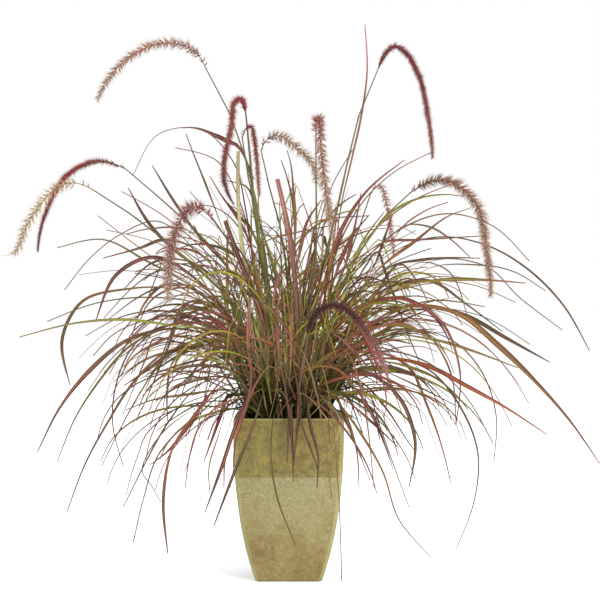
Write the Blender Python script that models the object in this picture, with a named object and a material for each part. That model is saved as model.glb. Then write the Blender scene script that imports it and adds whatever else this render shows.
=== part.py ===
"""A clump of fountain grass growing in a square, tapered planter.

Metres, +Z up. The origin is the centre of the planter's underside, on the ground. The
front looks along -Y and +X is on the viewer's right. The planter is filled with soil, and
34 leafy shoots and 12 flowering stems stand on the soil's crown.
"""
import math
import random

import bmesh
import bpy
from mathutils import Vector
from mathutils.bvhtree import BVHTree
from mathutils.geometry import interpolate_bezier

GAP = 0.0003                  # clearance between pieces that touch
UP = Vector((0.0, 0.0, 1.0))
CURVE_STEPS = 10              # points in each span of a smooth curve
SHARP_ANGLE = math.radians(35.0)

# Planter: straight at the rim, turning in towards the foot
POT_HEIGHT = 0.360
POT_RIM_WIDTH = 0.240
POT_FOOT_WIDTH = 0.146
POT_TAPER_POWER = 2.5
POT_CORNER_RADIUS = 0.012
POT_INNER_CORNER_RADIUS = 0.004
POT_CORNER_STEPS = 3
POT_WALL = 0.013
POT_FLOOR = 0.022
POT_EDGE_ROUND = 0.002
POT_OUTER_LEVELS = 9
POT_INNER_LEVELS = 5
POT_COLOUR = (0.36, 0.31, 0.14)

# Soil: fills the planter and rises to a flat crown under the clump
SOIL_EDGE = 0.338
SOIL_CROWN = 0.348
SOIL_CROWN_WIDTH = 0.200
SOIL_COLOUR = (0.035, 0.022, 0.014)

# Clump: every shoot and flowering stem has its own place on the crown
CLUMP_RADIUS = 0.086
GOLDEN_ANGLE = math.radians(137.508)
TUFTS = 34
BLADES_PER_TUFT = 5
SHEATH_RADIUS = 0.0072
SHEATH_NARROWING = 0.95       # top radius, as a share of the foot's
SHEATH_HEIGHT = (0.030, 0.055)
SHEATH_LEAN = math.radians(14.0)
LEAF_COLOURS = [(0.17, 0.19, 0.05), (0.24, 0.22, 0.08), (0.20, 0.09, 0.07), (0.26, 0.10, 0.10)]

# Blades: three-sided bars with a low ridge on the upper face
BLADE_WIDTH = 0.0080
BLADE_RIDGE = 0.24            # ridge height, as a share of the width
BLADE_TAPER = 0.75            # width lost on the way to the tip point
BLADE_TAPER_POWER = 2.2
BLADE_SEGMENT = 0.105         # usual length of a straight piece of a blade
BLADE_SEGMENTS = (4, 8)
BLADE_MARGIN = 0.0010         # rim of sheath left around each blade
BLADE_CLEARANCE = 0.0007
BLADE_TRIES = 240
DEPTH_SHIFTS = (0.0, -0.012, 0.012, -0.024, 0.024)   # tried in turn on a long blade
LONG_BLADE_PULL = 0.6         # its shoot stands this share as far out as its first knot

# Short blades: how far they lean from upright, in degrees, and how they arch
LEAN_MIDDLE = 12.0            # on a shoot in the middle of the clump
LEAN_OUTER = 66.0             # added by the clump's edge
LEAN_FACING = 20.0            # added on a shoot's outward side, taken off on its inward side
LEAN_SPREAD = (-22.0, 26.0)
LEAN_LIMITS = (4.0, 118.0)
HEADING_SPREAD = math.radians(24.0)
OUTWARD_PULL = 0.4            # a blade's heading is drawn outwards by this, and by its shoot's place
SECTOR_PULL = 0.8             # and towards its own side of the shoot by this
REACH = (0.34, 0.60)          # from root to tip
UPRIGHT_LOSS = 0.10           # share of the reach that an upright blade lacks
LAUNCH_SHARE = 0.38           # share of its lean that a blade leaves the sheath at
ARCH_HEIGHT = 0.60            # how far along the reach it bends over
ARCH_HEIGHT_GAIN = 0.16       # added as it leans

# Flowering stems and spikes
STEM_PULL = 0.7               # a stem's foot stands this share as far out as its first knot
STEM_FOOT_RADIUS = 0.0030
STEM_NECK_RADIUS = 0.0014
STEM_SIDES = 5
STEM_SEGMENTS = 7
STEM_COLOUR = (0.20, 0.17, 0.06)
SPIKE_RADIUS = 0.0135
SPIKE_SIDES = 7
SPIKE_SEGMENTS = 10
SPIKE_WAIST = 0.84            # every second ring is drawn in by this factor
SPIKE_NECK = (0.30, 5.0)      # share of the full radius at the neck, and its gain with length
SPIKE_TIP = (0.22, 3.2)       # the same at the tip
SPIKE_COLOUR = (0.42, 0.20, 0.16)

# The knots that each flowering stem passes through, then those of its nodding spike
PLUMES = [
    ([(-0.050, 0.030, 0.685), (-0.095, 0.060, 0.925), (-0.135, 0.075, 1.040)],
     [(-0.190, 0.090, 1.145), (-0.215, 0.095, 1.185), (-0.280, 0.110, 1.210),
      (-0.375, 0.140, 1.180), (-0.455, 0.170, 1.080)]),
    ([(-0.105, 0.050, 0.640), (-0.205, 0.090, 0.765), (-0.315, 0.120, 0.865)],
     [(-0.380, 0.140, 0.920), (-0.445, 0.150, 0.940), (-0.520, 0.165, 0.910),
      (-0.575, 0.180, 0.820), (-0.595, 0.190, 0.735)]),
    ([(-0.120, -0.060, 0.605), (-0.215, -0.090, 0.700), (-0.325, -0.125, 0.790)],
     [(-0.415, -0.155, 0.850), (-0.460, -0.165, 0.865), (-0.510, -0.180, 0.835),
      (-0.555, -0.200, 0.760), (-0.575, -0.210, 0.712), (-0.600, -0.215, 0.708)]),
    ([(-0.045, -0.030, 0.615), (-0.075, -0.040, 0.805), (-0.085, -0.045, 0.925)],
     [(-0.095, -0.050, 1.030), (-0.108, -0.055, 1.060), (-0.125, -0.075, 0.995),
      (-0.140, -0.105, 0.880), (-0.120, -0.120, 0.825)]),
    ([(0.000, 0.030, 0.615), (-0.020, 0.060, 0.780), (-0.055, 0.085, 0.910)],
     [(-0.065, 0.095, 0.960), (-0.035, 0.105, 0.995), (0.015, 0.125, 0.970),
      (0.055, 0.140, 0.930), (0.062, 0.150, 0.890)]),
    ([(0.040, -0.010, 0.550), (0.060, -0.010, 0.725), (0.060, -0.010, 0.905)],
     [(0.060, -0.020, 0.990), (0.065, -0.050, 1.015), (0.070, -0.105, 0.940),
      (0.080, -0.135, 0.850), (0.095, -0.150, 0.750)]),
    ([(0.060, 0.040, 0.615), (0.115, 0.075, 0.845), (0.160, 0.100, 1.040)],
     [(0.205, 0.115, 1.150), (0.245, 0.130, 1.205), (0.295, 0.145, 1.155),
      (0.325, 0.155, 1.040), (0.335, 0.160, 0.950)]),
    ([(0.080, 0.000, 0.560), (0.140, 0.010, 0.690), (0.215, 0.015, 0.805)],
     [(0.270, 0.015, 0.855), (0.340, 0.005, 0.885), (0.410, -0.010, 0.840),
      (0.440, -0.035, 0.705), (0.445, -0.045, 0.625)]),
    ([(-0.025, -0.060, 0.515), (-0.075, -0.090, 0.640), (-0.120, -0.120, 0.730)],
     [(-0.160, -0.140, 0.785), (-0.200, -0.155, 0.815), (-0.235, -0.185, 0.765),
      (-0.250, -0.205, 0.685), (-0.250, -0.215, 0.615)]),
    ([(0.030, -0.090, 0.410), (0.030, -0.120, 0.465), (0.035, -0.150, 0.510)],
     [(0.040, -0.170, 0.545), (0.060, -0.180, 0.590), (0.100, -0.190, 0.605),
      (0.140, -0.210, 0.580), (0.180, -0.235, 0.520), (0.205, -0.250, 0.460)]),
    ([(0.080, 0.060, 0.570), (0.135, 0.110, 0.710), (0.175, 0.145, 0.820)],
     [(0.190, 0.155, 0.865), (0.210, 0.170, 0.885), (0.230, 0.205, 0.845),
      (0.240, 0.230, 0.795), (0.250, 0.245, 0.725)]),
    ([(0.000, -0.040, 0.550), (-0.045, -0.080, 0.725), (-0.085, -0.105, 0.870)],
     [(-0.100, -0.115, 0.965), (-0.085, -0.130, 0.990), (-0.070, -0.170, 0.940),
      (-0.065, -0.195, 0.890), (-0.060, -0.210, 0.835)]),
]

# The long blades that shape the clump's outline: the knots each one passes through
LONG_BLADES = [
    # left, level with the middle of the clump
    [(-0.105, -0.050, 0.570), (-0.225, -0.080, 0.615), (-0.385, -0.120, 0.615),
     (-0.515, -0.150, 0.570)],
    [(-0.095, -0.100, 0.520), (-0.235, -0.160, 0.560), (-0.375, -0.220, 0.575),
     (-0.550, -0.280, 0.540)],
    [(-0.200, 0.020, 0.615), (-0.405, 0.050, 0.635), (-0.495, 0.060, 0.590),
     (-0.500, 0.070, 0.420)],
    [(-0.140, -0.080, 0.595), (-0.310, -0.160, 0.710), (-0.370, -0.190, 0.660),
     (-0.405, -0.200, 0.570)],
    [(-0.160, 0.080, 0.615), (-0.305, 0.160, 0.800), (-0.425, 0.200, 0.755),
     (-0.540, 0.240, 0.640)],
    [(-0.130, -0.020, 0.570), (-0.310, -0.050, 0.700), (-0.415, -0.070, 0.750),
     (-0.505, -0.080, 0.730)],
    [(-0.135, 0.030, 0.595), (-0.300, 0.060, 0.705), (-0.440, 0.090, 0.810)],
    [(-0.120, -0.040, 0.640), (-0.235, -0.080, 0.770), (-0.360, -0.120, 0.850)],
    [(-0.110, 0.060, 0.640), (-0.230, 0.100, 0.790), (-0.320, 0.130, 0.930)],
    [(-0.120, 0.100, 0.615), (-0.300, 0.160, 0.760), (-0.380, 0.190, 0.880)],
    [(-0.085, 0.000, 0.730), (-0.150, -0.020, 0.965), (-0.235, -0.040, 1.000),
     (-0.305, -0.060, 0.965), (-0.340, -0.070, 0.890)],
    [(-0.090, 0.060, 0.755), (-0.170, 0.100, 0.940), (-0.265, 0.130, 0.970)],
    # left, hanging low
    [(-0.130, -0.060, 0.515), (-0.295, -0.140, 0.550), (-0.420, -0.200, 0.465),
     (-0.520, -0.240, 0.300)],
    [(-0.120, 0.000, 0.505), (-0.290, 0.030, 0.550), (-0.430, 0.060, 0.435),
     (-0.530, 0.070, 0.245)],
    [(-0.145, 0.080, 0.525), (-0.325, 0.160, 0.545), (-0.415, 0.200, 0.400),
     (-0.395, 0.210, 0.220)],
    [(-0.095, -0.080, 0.475), (-0.250, -0.170, 0.510), (-0.370, -0.230, 0.370),
     (-0.455, -0.260, 0.180)],
    [(-0.090, 0.020, 0.480), (-0.250, 0.050, 0.505), (-0.375, 0.070, 0.340),
     (-0.430, 0.080, 0.235)],
    [(-0.075, -0.090, 0.455), (-0.155, -0.160, 0.415), (-0.245, -0.210, 0.300),
     (-0.260, -0.230, 0.175), (-0.250, -0.235, 0.090)],
    [(-0.075, -0.020, 0.460), (-0.195, -0.050, 0.430), (-0.310, -0.080, 0.265),
     (-0.360, -0.090, 0.165)],
    # right
    [(0.125, 0.060, 0.615), (0.325, 0.120, 0.760), (0.530, 0.170, 0.710),
     (0.715, 0.220, 0.495)],
    [(0.135, -0.040, 0.660), (0.310, -0.080, 0.800), (0.435, -0.100, 0.780),
     (0.520, -0.110, 0.700)],
    [(0.125, -0.080, 0.520), (0.305, -0.160, 0.605), (0.485, -0.230, 0.475),
     (0.640, -0.270, 0.280)],
    [(0.125, 0.000, 0.550), (0.335, 0.020, 0.600), (0.480, 0.030, 0.535),
     (0.590, 0.040, 0.475)],
    [(0.115, 0.100, 0.545), (0.305, 0.180, 0.665), (0.430, 0.220, 0.600),
     (0.510, 0.240, 0.540)],
    [(0.100, -0.080, 0.550), (0.235, -0.160, 0.620), (0.325, -0.200, 0.565),
     (0.350, -0.220, 0.355)],
    [(0.090, -0.060, 0.450), (0.240, -0.130, 0.490), (0.385, -0.180, 0.430),
     (0.540, -0.220, 0.335)],
    [(0.105, 0.050, 0.480), (0.325, 0.120, 0.545), (0.455, 0.160, 0.440),
     (0.480, 0.170, 0.235)],
    [(0.090, -0.050, 0.450), (0.285, -0.120, 0.475), (0.395, -0.170, 0.320),
     (0.400, -0.180, 0.235), (0.355, -0.180, 0.090)],
    [(0.080, -0.090, 0.440), (0.195, -0.180, 0.450), (0.260, -0.230, 0.345),
     (0.250, -0.240, 0.225)],
    [(0.090, 0.000, 0.450), (0.240, 0.040, 0.490), (0.330, 0.060, 0.330),
     (0.370, 0.070, 0.195)],
    # in front of the planter
    [(-0.010, -0.100, 0.405), (-0.030, -0.160, 0.340), (-0.040, -0.185, 0.265),
     (-0.025, -0.190, 0.205), (0.015, -0.190, 0.100)],
    [(0.005, -0.110, 0.400), (0.005, -0.155, 0.350), (0.010, -0.165, 0.285),
     (0.010, -0.170, 0.230)],
    [(0.030, -0.100, 0.400), (0.025, -0.150, 0.370), (0.015, -0.165, 0.310)],
    [(0.040, -0.110, 0.410), (0.050, -0.170, 0.330), (0.065, -0.185, 0.275),
     (0.060, -0.190, 0.220)],
    [(-0.030, -0.090, 0.440), (-0.065, -0.170, 0.370), (-0.105, -0.200, 0.275),
     (-0.155, -0.220, 0.145)],
    [(-0.025, -0.060, 0.485), (-0.080, -0.150, 0.425), (-0.140, -0.200, 0.265),
     (-0.175, -0.210, 0.170)],
    [(0.040, -0.080, 0.470), (0.100, -0.170, 0.405), (0.190, -0.220, 0.275),
     (0.230, -0.240, 0.160), (0.295, -0.250, 0.085)],
    [(0.065, -0.060, 0.430), (0.125, -0.140, 0.365), (0.150, -0.170, 0.215)],
    # upright
    [(0.115, 0.060, 0.810), (0.165, 0.110, 1.035), (0.180, 0.120, 1.145),
     (0.175, 0.120, 1.255)],
    [(-0.060, -0.060, 0.550), (-0.100, -0.080, 0.725), (-0.110, -0.090, 0.940)],
    [(0.020, -0.040, 0.570), (0.000, -0.070, 0.765), (-0.025, -0.080, 0.880)],
    [(-0.050, -0.090, 0.550), (-0.100, -0.130, 0.690), (-0.135, -0.150, 0.785)],
    [(0.070, -0.020, 0.615), (0.140, -0.030, 0.815), (0.255, -0.040, 0.925)],
    [(0.080, 0.080, 0.640), (0.175, 0.140, 0.850), (0.335, 0.190, 0.965)],
    [(0.090, 0.040, 0.615), (0.210, 0.080, 0.790), (0.395, 0.120, 0.890)],
    [(0.045, 0.050, 0.660), (0.095, 0.080, 0.870), (0.145, 0.090, 0.960)],
]


def lerp(a, b, t):
    return a + (b - a) * t


# Curves

def smooth_curve(knots):
    """A smooth line through the knots, with the same number of steps in every span."""
    lengths = [(b - a).length for a, b in zip(knots, knots[1:])]
    headings = [(b - a).normalized() for a, b in zip(knots, knots[1:])]
    tangents = [(a + b).normalized() for a, b in zip(headings, headings[1:])]
    line = [knots[0]]
    last = len(lengths) - 1
    for i, length in enumerate(lengths):
        start, end = knots[i], knots[i + 1]
        leaving = start + tangents[i - 1] * length / 3.0 if i > 0 else None
        arriving = end - tangents[i] * length / 3.0 if i < last else None
        if leaving is None:
            leaving = start.lerp(end.lerp(arriving, 1.5), 2.0 / 3.0)
        if arriving is None:
            arriving = end.lerp(start.lerp(leaving, 1.5), 2.0 / 3.0)
        line += interpolate_bezier(start, leaving, arriving, end, CURVE_STEPS + 1)[1:]
    return line


def line_length(line):
    return sum((b - a).length for a, b in zip(line, line[1:]))


def evenly(line, segments):
    """Points at equal distances along the line, its two ends among them."""
    step = line_length(line) / segments
    points = [line[0]]
    walked = 0.0
    for a, b in zip(line, line[1:]):
        span = (b - a).length
        while walked + span >= step * len(points) and len(points) < segments:
            points.append(a.lerp(b, (step * len(points) - walked) / span))
        walked += span
    return points + [line[-1]]


# Solids

def loft(rings):
    """A closed solid through rings of corners, all with the same number of corners."""
    bm = bmesh.new()
    loops = [[bm.verts.new(corner) for corner in ring] for ring in rings]
    for lower, upper in zip(loops, loops[1:]):
        for i in range(len(lower)):
            j = (i + 1) % len(lower)
            bm.faces.new((lower[i], lower[j], upper[j], upper[i]))
    bm.faces.new(reversed(loops[0]))
    bm.faces.new(loops[-1])
    return bm


def tube(path, sides, radius_at, facing):
    """A closed round bar along the path; radius_at gives its radius for a ring's number.

    facing maps a ring's number to the direction that its face is square to, where that
    isn't the path's own direction.
    """
    side = UP.cross(path[-1] - path[0]).normalized()
    rings = []
    for i, centre in enumerate(path):
        ahead = path[min(i + 1, len(path) - 1)] - path[max(i - 1, 0)]
        tangent = facing.get(i, ahead).normalized()
        side = (side - tangent * side.dot(tangent)).normalized()
        across = tangent.cross(side)
        radius = radius_at(i)
        ring = []
        for k in range(sides):
            angle = 2.0 * math.pi * k / sides
            ring.append(centre + (side * math.cos(angle) + across * math.sin(angle)) * radius)
        rings.append(ring)
    return loft(rings)


def tree_of(bm):
    bmesh.ops.triangulate(bm, faces=bm.faces)
    return BVHTree.FromBMesh(bm)


def add_object(name, bm, material):
    """Turns a finished bmesh into the named object, with its faces pointing out."""
    bmesh.ops.recalc_face_normals(bm, faces=bm.faces)
    mesh = bpy.data.meshes.new(name)
    bm.to_mesh(mesh)
    bm.free()
    mesh.shade_smooth()
    mesh.set_sharp_from_angle(angle=SHARP_ANGLE)
    mesh.materials.append(material)
    part = bpy.data.objects.new(name, mesh)
    bpy.context.scene.collection.objects.link(part)


def plain_material(name, colour, roughness):
    material = bpy.data.materials.new(name)
    material.use_nodes = True
    shader = material.node_tree.nodes["Principled BSDF"]
    shader.inputs["Base Color"].default_value = (*colour, 1.0)
    shader.inputs["Roughness"].default_value = roughness
    shader.inputs["Metallic"].default_value = 0.0
    return material


# Planter and soil

def pot_half_width(z):
    taper = (POT_RIM_WIDTH - POT_FOOT_WIDTH) / 2.0
    return POT_RIM_WIDTH / 2.0 - taper * (1.0 - z / POT_HEIGHT) ** POT_TAPER_POWER


def rounded_square(half, radius, z):
    """Corners of a square with rounded corners, anticlockwise from above."""
    centre = half - radius
    ring = []
    for quarter in range(4):
        turn = math.radians(45.0 + 90.0 * quarter)
        corner = Vector((math.copysign(centre, math.cos(turn)),
                         math.copysign(centre, math.sin(turn)), z))
        for step in range(POT_CORNER_STEPS + 1):
            angle = math.radians(90.0 * (quarter + step / POT_CORNER_STEPS))
            ring.append(corner + Vector((math.cos(angle), math.sin(angle), 0.0)) * radius)
    return ring


def inner_levels():
    """Heights of the rings inside the planter, from its floor to the soil's edge."""
    return [lerp(POT_FLOOR, SOIL_EDGE, i / POT_INNER_LEVELS) for i in range(POT_INNER_LEVELS + 1)]


def make_pot():
    edge = POT_EDGE_ROUND
    outer = [edge] + [POT_HEIGHT * i / POT_OUTER_LEVELS for i in range(1, POT_OUTER_LEVELS)]
    outer.append(POT_HEIGHT - edge)
    rim = POT_RIM_WIDTH / 2.0
    inner_radius = POT_INNER_CORNER_RADIUS
    rings = [rounded_square(pot_half_width(0.0) - edge, POT_CORNER_RADIUS - edge, 0.0)]
    rings += [rounded_square(pot_half_width(z), POT_CORNER_RADIUS, z) for z in outer]
    rings.append(rounded_square(rim - edge, POT_CORNER_RADIUS - edge, POT_HEIGHT))
    rings.append(rounded_square(rim - POT_WALL + edge, inner_radius + edge, POT_HEIGHT))
    for z in reversed(inner_levels() + [POT_HEIGHT - edge]):
        rings.append(rounded_square(pot_half_width(z) - POT_WALL, inner_radius, z))
    material = plain_material("olive_stone", POT_COLOUR, 0.75)
    pot = loft(rings)
    tree = tree_of(pot)
    add_object("pot", pot, material)
    return tree


def make_soil():
    levels = inner_levels()
    levels[0] += GAP
    rings = []
    for z in levels:
        half = pot_half_width(z) - POT_WALL - GAP
        rings.append(rounded_square(half, POT_INNER_CORNER_RADIUS, z))
    crown = SOIL_CROWN_WIDTH / 2.0
    rings.append(rounded_square(crown, POT_INNER_CORNER_RADIUS, SOIL_CROWN))
    material = plain_material("potting_soil", SOIL_COLOUR, 0.95)
    add_object("soil", loft(rings), material)


# Places on the crown

def crown_places(count):
    """Evenly spread places on the soil's crown, in the spiral order of a seed head."""
    places = []
    for i in range(count):
        radius = CLUMP_RADIUS * math.sqrt((i + 0.5) / count)
        angle = GOLDEN_ANGLE * i
        places.append(Vector((radius * math.cos(angle), radius * math.sin(angle),
                              SOIL_CROWN + GAP)))
    return places


def take_nearest(places, target):
    """Takes the free place nearest to a point seen from above."""
    nearest = min(places, key=lambda place: (place.xy - target.xy).length)
    places.remove(nearest)
    return nearest


# Flowering stems and spikes

def spike_radius(ring):
    """Full along the middle, narrow at the neck and the tip, with drawn-in waists."""
    along = ring / SPIKE_SEGMENTS
    from_neck = SPIKE_NECK[0] + SPIKE_NECK[1] * along
    from_tip = SPIKE_TIP[0] + SPIKE_TIP[1] * (1.0 - along)
    swell = min(1.0, from_neck, from_tip)
    waist = SPIKE_WAIST if ring % 2 else 1.0
    return SPIKE_RADIUS * swell * waist


def make_plumes(places):
    """Each stem with its spike; gives back the search trees of both."""
    stem_material = plain_material("flower_stem", STEM_COLOUR, 0.60)
    spike_material = plain_material("flower_spike", SPIKE_COLOUR, 0.85)
    trees = []
    for number, (stem_knots, spike_knots) in enumerate(PLUMES, start=1):
        knots = [Vector(knot) for knot in stem_knots + spike_knots]
        foot = take_nearest(places, knots[0] * STEM_PULL)
        line = smooth_curve([foot] + knots)
        neck = CURVE_STEPS * len(stem_knots) + CURVE_STEPS
        stem_path = evenly(line[:neck + 1], STEM_SEGMENTS)
        spike_path = evenly(line[neck:], SPIKE_SEGMENTS)
        nod = (line[neck + 1] - line[neck - 1]).normalized()
        spike_path[0] += nod * GAP

        def stem_radius(ring):
            return lerp(STEM_FOOT_RADIUS, STEM_NECK_RADIUS, ring / STEM_SEGMENTS)

        stem = tube(stem_path, STEM_SIDES, stem_radius, {0: UP, STEM_SEGMENTS: nod})
        trees.append(tree_of(stem))
        add_object(f"flower_stem_{number:02d}", stem, stem_material)
        spike = tube(spike_path, SPIKE_SIDES, spike_radius, {0: nod})
        trees.append(tree_of(spike))
        add_object(f"flower_spike_{number:02d}", spike, spike_material)
    return trees


# Leafy shoots

class Tuft:
    """One shoot: a five-sided sheath on the soil with a blade from each sector of its top."""

    def __init__(self, foot, rng):
        outward = Vector((foot.x, foot.y, 0.0))
        self.share = outward.length / CLUMP_RADIUS
        self.outward = outward.normalized()
        height = rng.uniform(*SHEATH_HEIGHT)
        lean = SHEATH_LEAN * self.share
        self.top = foot + UP * height + self.outward * height * math.tan(lean)
        self.foot_ring = self.ring_around(foot, SHEATH_RADIUS)
        self.top_ring = self.ring_around(self.top, SHEATH_RADIUS * SHEATH_NARROWING)
        self.blades = {}

    def ring_around(self, centre, radius):
        first = math.atan2(self.outward.y, self.outward.x) - math.pi / BLADES_PER_TUFT
        corners = []
        for i in range(BLADES_PER_TUFT):
            angle = first + 2.0 * math.pi * i / BLADES_PER_TUFT
            corners.append(centre + Vector((math.cos(angle), math.sin(angle), 0.0)) * radius)
        return corners

    def sheath_tree(self):
        return tree_of(loft([self.foot_ring, self.top_ring]))

    def free_sectors(self):
        return [k for k in range(BLADES_PER_TUFT) if k not in self.blades]

    def sector_heading(self, sector):
        a = self.top_ring[sector]
        b = self.top_ring[(sector + 1) % BLADES_PER_TUFT]
        return ((a + b) / 2.0 - self.top).normalized()

    def root(self, sector):
        """The small triangle of the sector that a blade grows from."""
        corners = [self.top, self.top_ring[sector], self.top_ring[(sector + 1) % BLADES_PER_TUFT]]
        middle = (corners[0] + corners[1] + corners[2]) / 3.0
        inset = BLADE_MARGIN / (middle - (corners[1] + corners[2]) / 2.0).length
        return [corner.lerp(middle, inset) for corner in corners]

    def solid(self):
        """Sheath and blades as one closed body."""
        bm = bmesh.new()
        foot = [bm.verts.new(corner) for corner in self.foot_ring]
        rim = [bm.verts.new(corner) for corner in self.top_ring]
        centre = bm.verts.new(self.top)
        bm.faces.new(reversed(foot))
        for k in range(BLADES_PER_TUFT):
            after = (k + 1) % BLADES_PER_TUFT
            bm.faces.new((foot[k], foot[after], rim[after], rim[k]))
            sector = [centre, rim[k], rim[after]]
            if k not in self.blades:
                bm.faces.new(sector)
                continue
            loop = sector
            for ring in self.blades[k][:-1]:
                grown = [bm.verts.new(corner) for corner in ring]
                for i in range(3):
                    j = (i + 1) % 3
                    bm.faces.new((loop[i], loop[j], grown[j], grown[i]))
                loop = grown
            tip = bm.verts.new(self.blades[k][-1])
            for i in range(3):
                bm.faces.new((loop[i], loop[(i + 1) % 3], tip))
        bmesh.ops.triangulate(bm, faces=bm.faces)
        return bm


def blade_rings(root, knots, width):
    """Rings of a blade from its root triangle to its tip point, along a smooth arch."""
    middle = (root[0] + root[1] + root[2]) / 3.0
    line = smooth_curve([middle] + knots)
    fewest, most = BLADE_SEGMENTS
    segments = max(fewest, min(most, round(line_length(line) / BLADE_SEGMENT)))
    path = evenly(line, segments)
    side = UP.cross(path[-1] - path[0]).normalized()
    rings = [root]
    for i in range(1, segments):
        along = i / segments
        tangent = (path[i + 1] - path[i - 1]).normalized()
        upper = tangent.cross(side).normalized()
        across = upper.cross(tangent)
        reach = width / 2.0 * (1.0 - BLADE_TAPER * along ** BLADE_TAPER_POWER)
        ridge = path[i] + upper * reach * 2.0 * BLADE_RIDGE
        rings.append([ridge, path[i] - across * reach, path[i] + across * reach])
    rings.append(path[-1])
    return rings


def blade_tree(rings):
    """Search tree of a blade, open at its root."""
    points = []
    for ring in rings[:-1]:
        points += ring
    points.append(rings[-1])
    faces = []
    for start in range(0, len(points) - 4, 3):
        for i in range(3):
            j = (i + 1) % 3
            faces.append((start + i, start + j, start + 3 + j, start + 3 + i))
    last = len(points) - 1
    for i in range(3):
        faces.append((last - 3 + i, last - 3 + (i + 1) % 3, last))
    return BVHTree.FromPolygons(points, faces)


def crosses_itself(bm):
    """Whether two faces of a solid that share no corner meet."""
    tree = tree_of(bm)
    bm.faces.ensure_lookup_table()
    corners = [set(face.verts) for face in bm.faces]
    return any(corners[a].isdisjoint(corners[b]) for a, b in tree.overlap(tree))


def grow(tuft, sector, knots, others):
    """Adds a blade where it clears every other piece; says whether it did."""
    root = tuft.root(sector)
    probe = blade_tree(blade_rings(root, knots, BLADE_WIDTH + 2.0 * BLADE_CLEARANCE))
    if any(probe.overlap(tree) for tree in others):
        return False
    tuft.blades[sector] = blade_rings(root, knots, BLADE_WIDTH)
    if crosses_itself(tuft.solid()):
        del tuft.blades[sector]
        return False
    return True


def arch_knots(start, azimuth, lean, reach):
    """Middle and tip of a blade that leaves steeply and bends over to its lean angle."""
    flat = Vector((math.cos(azimuth), math.sin(azimuth), 0.0))
    tip = start + (flat * math.sin(lean) + UP * math.cos(lean)) * reach
    launch = LAUNCH_SHARE * lean
    height = reach * (ARCH_HEIGHT + ARCH_HEIGHT_GAIN * math.sin(lean))
    control = start + (flat * math.sin(launch) + UP * math.cos(launch)) * height
    middle = (start + tip).lerp(control * 2.0, 0.5) / 2.0
    return [middle, tip]


def free_arch(tuft, sector, rng):
    """A drawn arch: outer shoots and outward sectors lean furthest."""
    heading = tuft.sector_heading(sector)
    facing = heading.dot(tuft.outward)
    course = tuft.outward * (OUTWARD_PULL + tuft.share) + heading * SECTOR_PULL
    azimuth = math.atan2(course.y, course.x) + rng.uniform(-HEADING_SPREAD, HEADING_SPREAD)
    lean = LEAN_MIDDLE + LEAN_OUTER * tuft.share + LEAN_FACING * facing + rng.uniform(*LEAN_SPREAD)
    least, most = LEAN_LIMITS
    lean = math.radians(max(least, min(most, lean)))
    reach = rng.uniform(*REACH) * (1.0 - UPRIGHT_LOSS * math.cos(lean))
    return arch_knots(tuft.top, azimuth, lean, reach)


def make_tufts(places, obstacles):
    rng = random.Random(17)
    tufts = [Tuft(place, rng) for place in places]
    sheaths = [tuft.sheath_tree() for tuft in tufts]
    grown = []

    def others(tuft):
        own = tufts.index(tuft)
        neighbours = [tree for i, tree in enumerate(sheaths) if i != own]
        blades = [tree for owner, tree in grown if owner is not tuft]
        return obstacles + neighbours + blades

    def try_blade(tuft, sector, knots):
        if not grow(tuft, sector, knots, others(tuft)):
            return False
        grown.append((tuft, blade_tree(tuft.blades[sector])))
        return True

    def place_long_blade(knots):
        target = knots[0].xy * LONG_BLADE_PULL
        heading = Vector((knots[1].x, knots[1].y, 0.0)).normalized()
        for tuft in sorted(tufts, key=lambda tuft: (tuft.top.xy - target).length):
            sectors = tuft.free_sectors()
            sectors.sort(key=lambda sector: -tuft.sector_heading(sector).dot(heading))
            if any(try_blade(tuft, sector, knots) for sector in sectors):
                return True
        return False

    for shape in LONG_BLADES:
        for shift in DEPTH_SHIFTS:
            if place_long_blade([Vector(knot) + Vector((0.0, shift, 0.0)) for knot in shape]):
                break
        else:
            raise ValueError(f"there is no room for the long blade to {shape[-1]}")

    for tuft in tufts:
        for sector in tuft.free_sectors():
            for attempt in range(BLADE_TRIES):
                if try_blade(tuft, sector, free_arch(tuft, sector, rng)):
                    break

    materials = [plain_material(f"leaf_{i}", c, 0.5) for i, c in enumerate(LEAF_COLOURS, start=1)]
    for number, tuft in enumerate(tufts, start=1):
        material = materials[number % len(materials)]
        add_object(f"leaf_tuft_{number:02d}", tuft.solid(), material)


for old in list(bpy.data.objects):
    bpy.data.objects.remove(old)
pot_tree = make_pot()
make_soil()
crown = crown_places(TUFTS + len(PLUMES))
plume_trees = make_plumes(crown)
make_tufts(crown, [pot_tree] + plume_trees)
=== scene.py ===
"""A clump of fountain grass in a square stoneware planter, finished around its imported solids."""
import math
import random

import bmesh
import bpy
from mathutils import Matrix, Vector, noise


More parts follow.
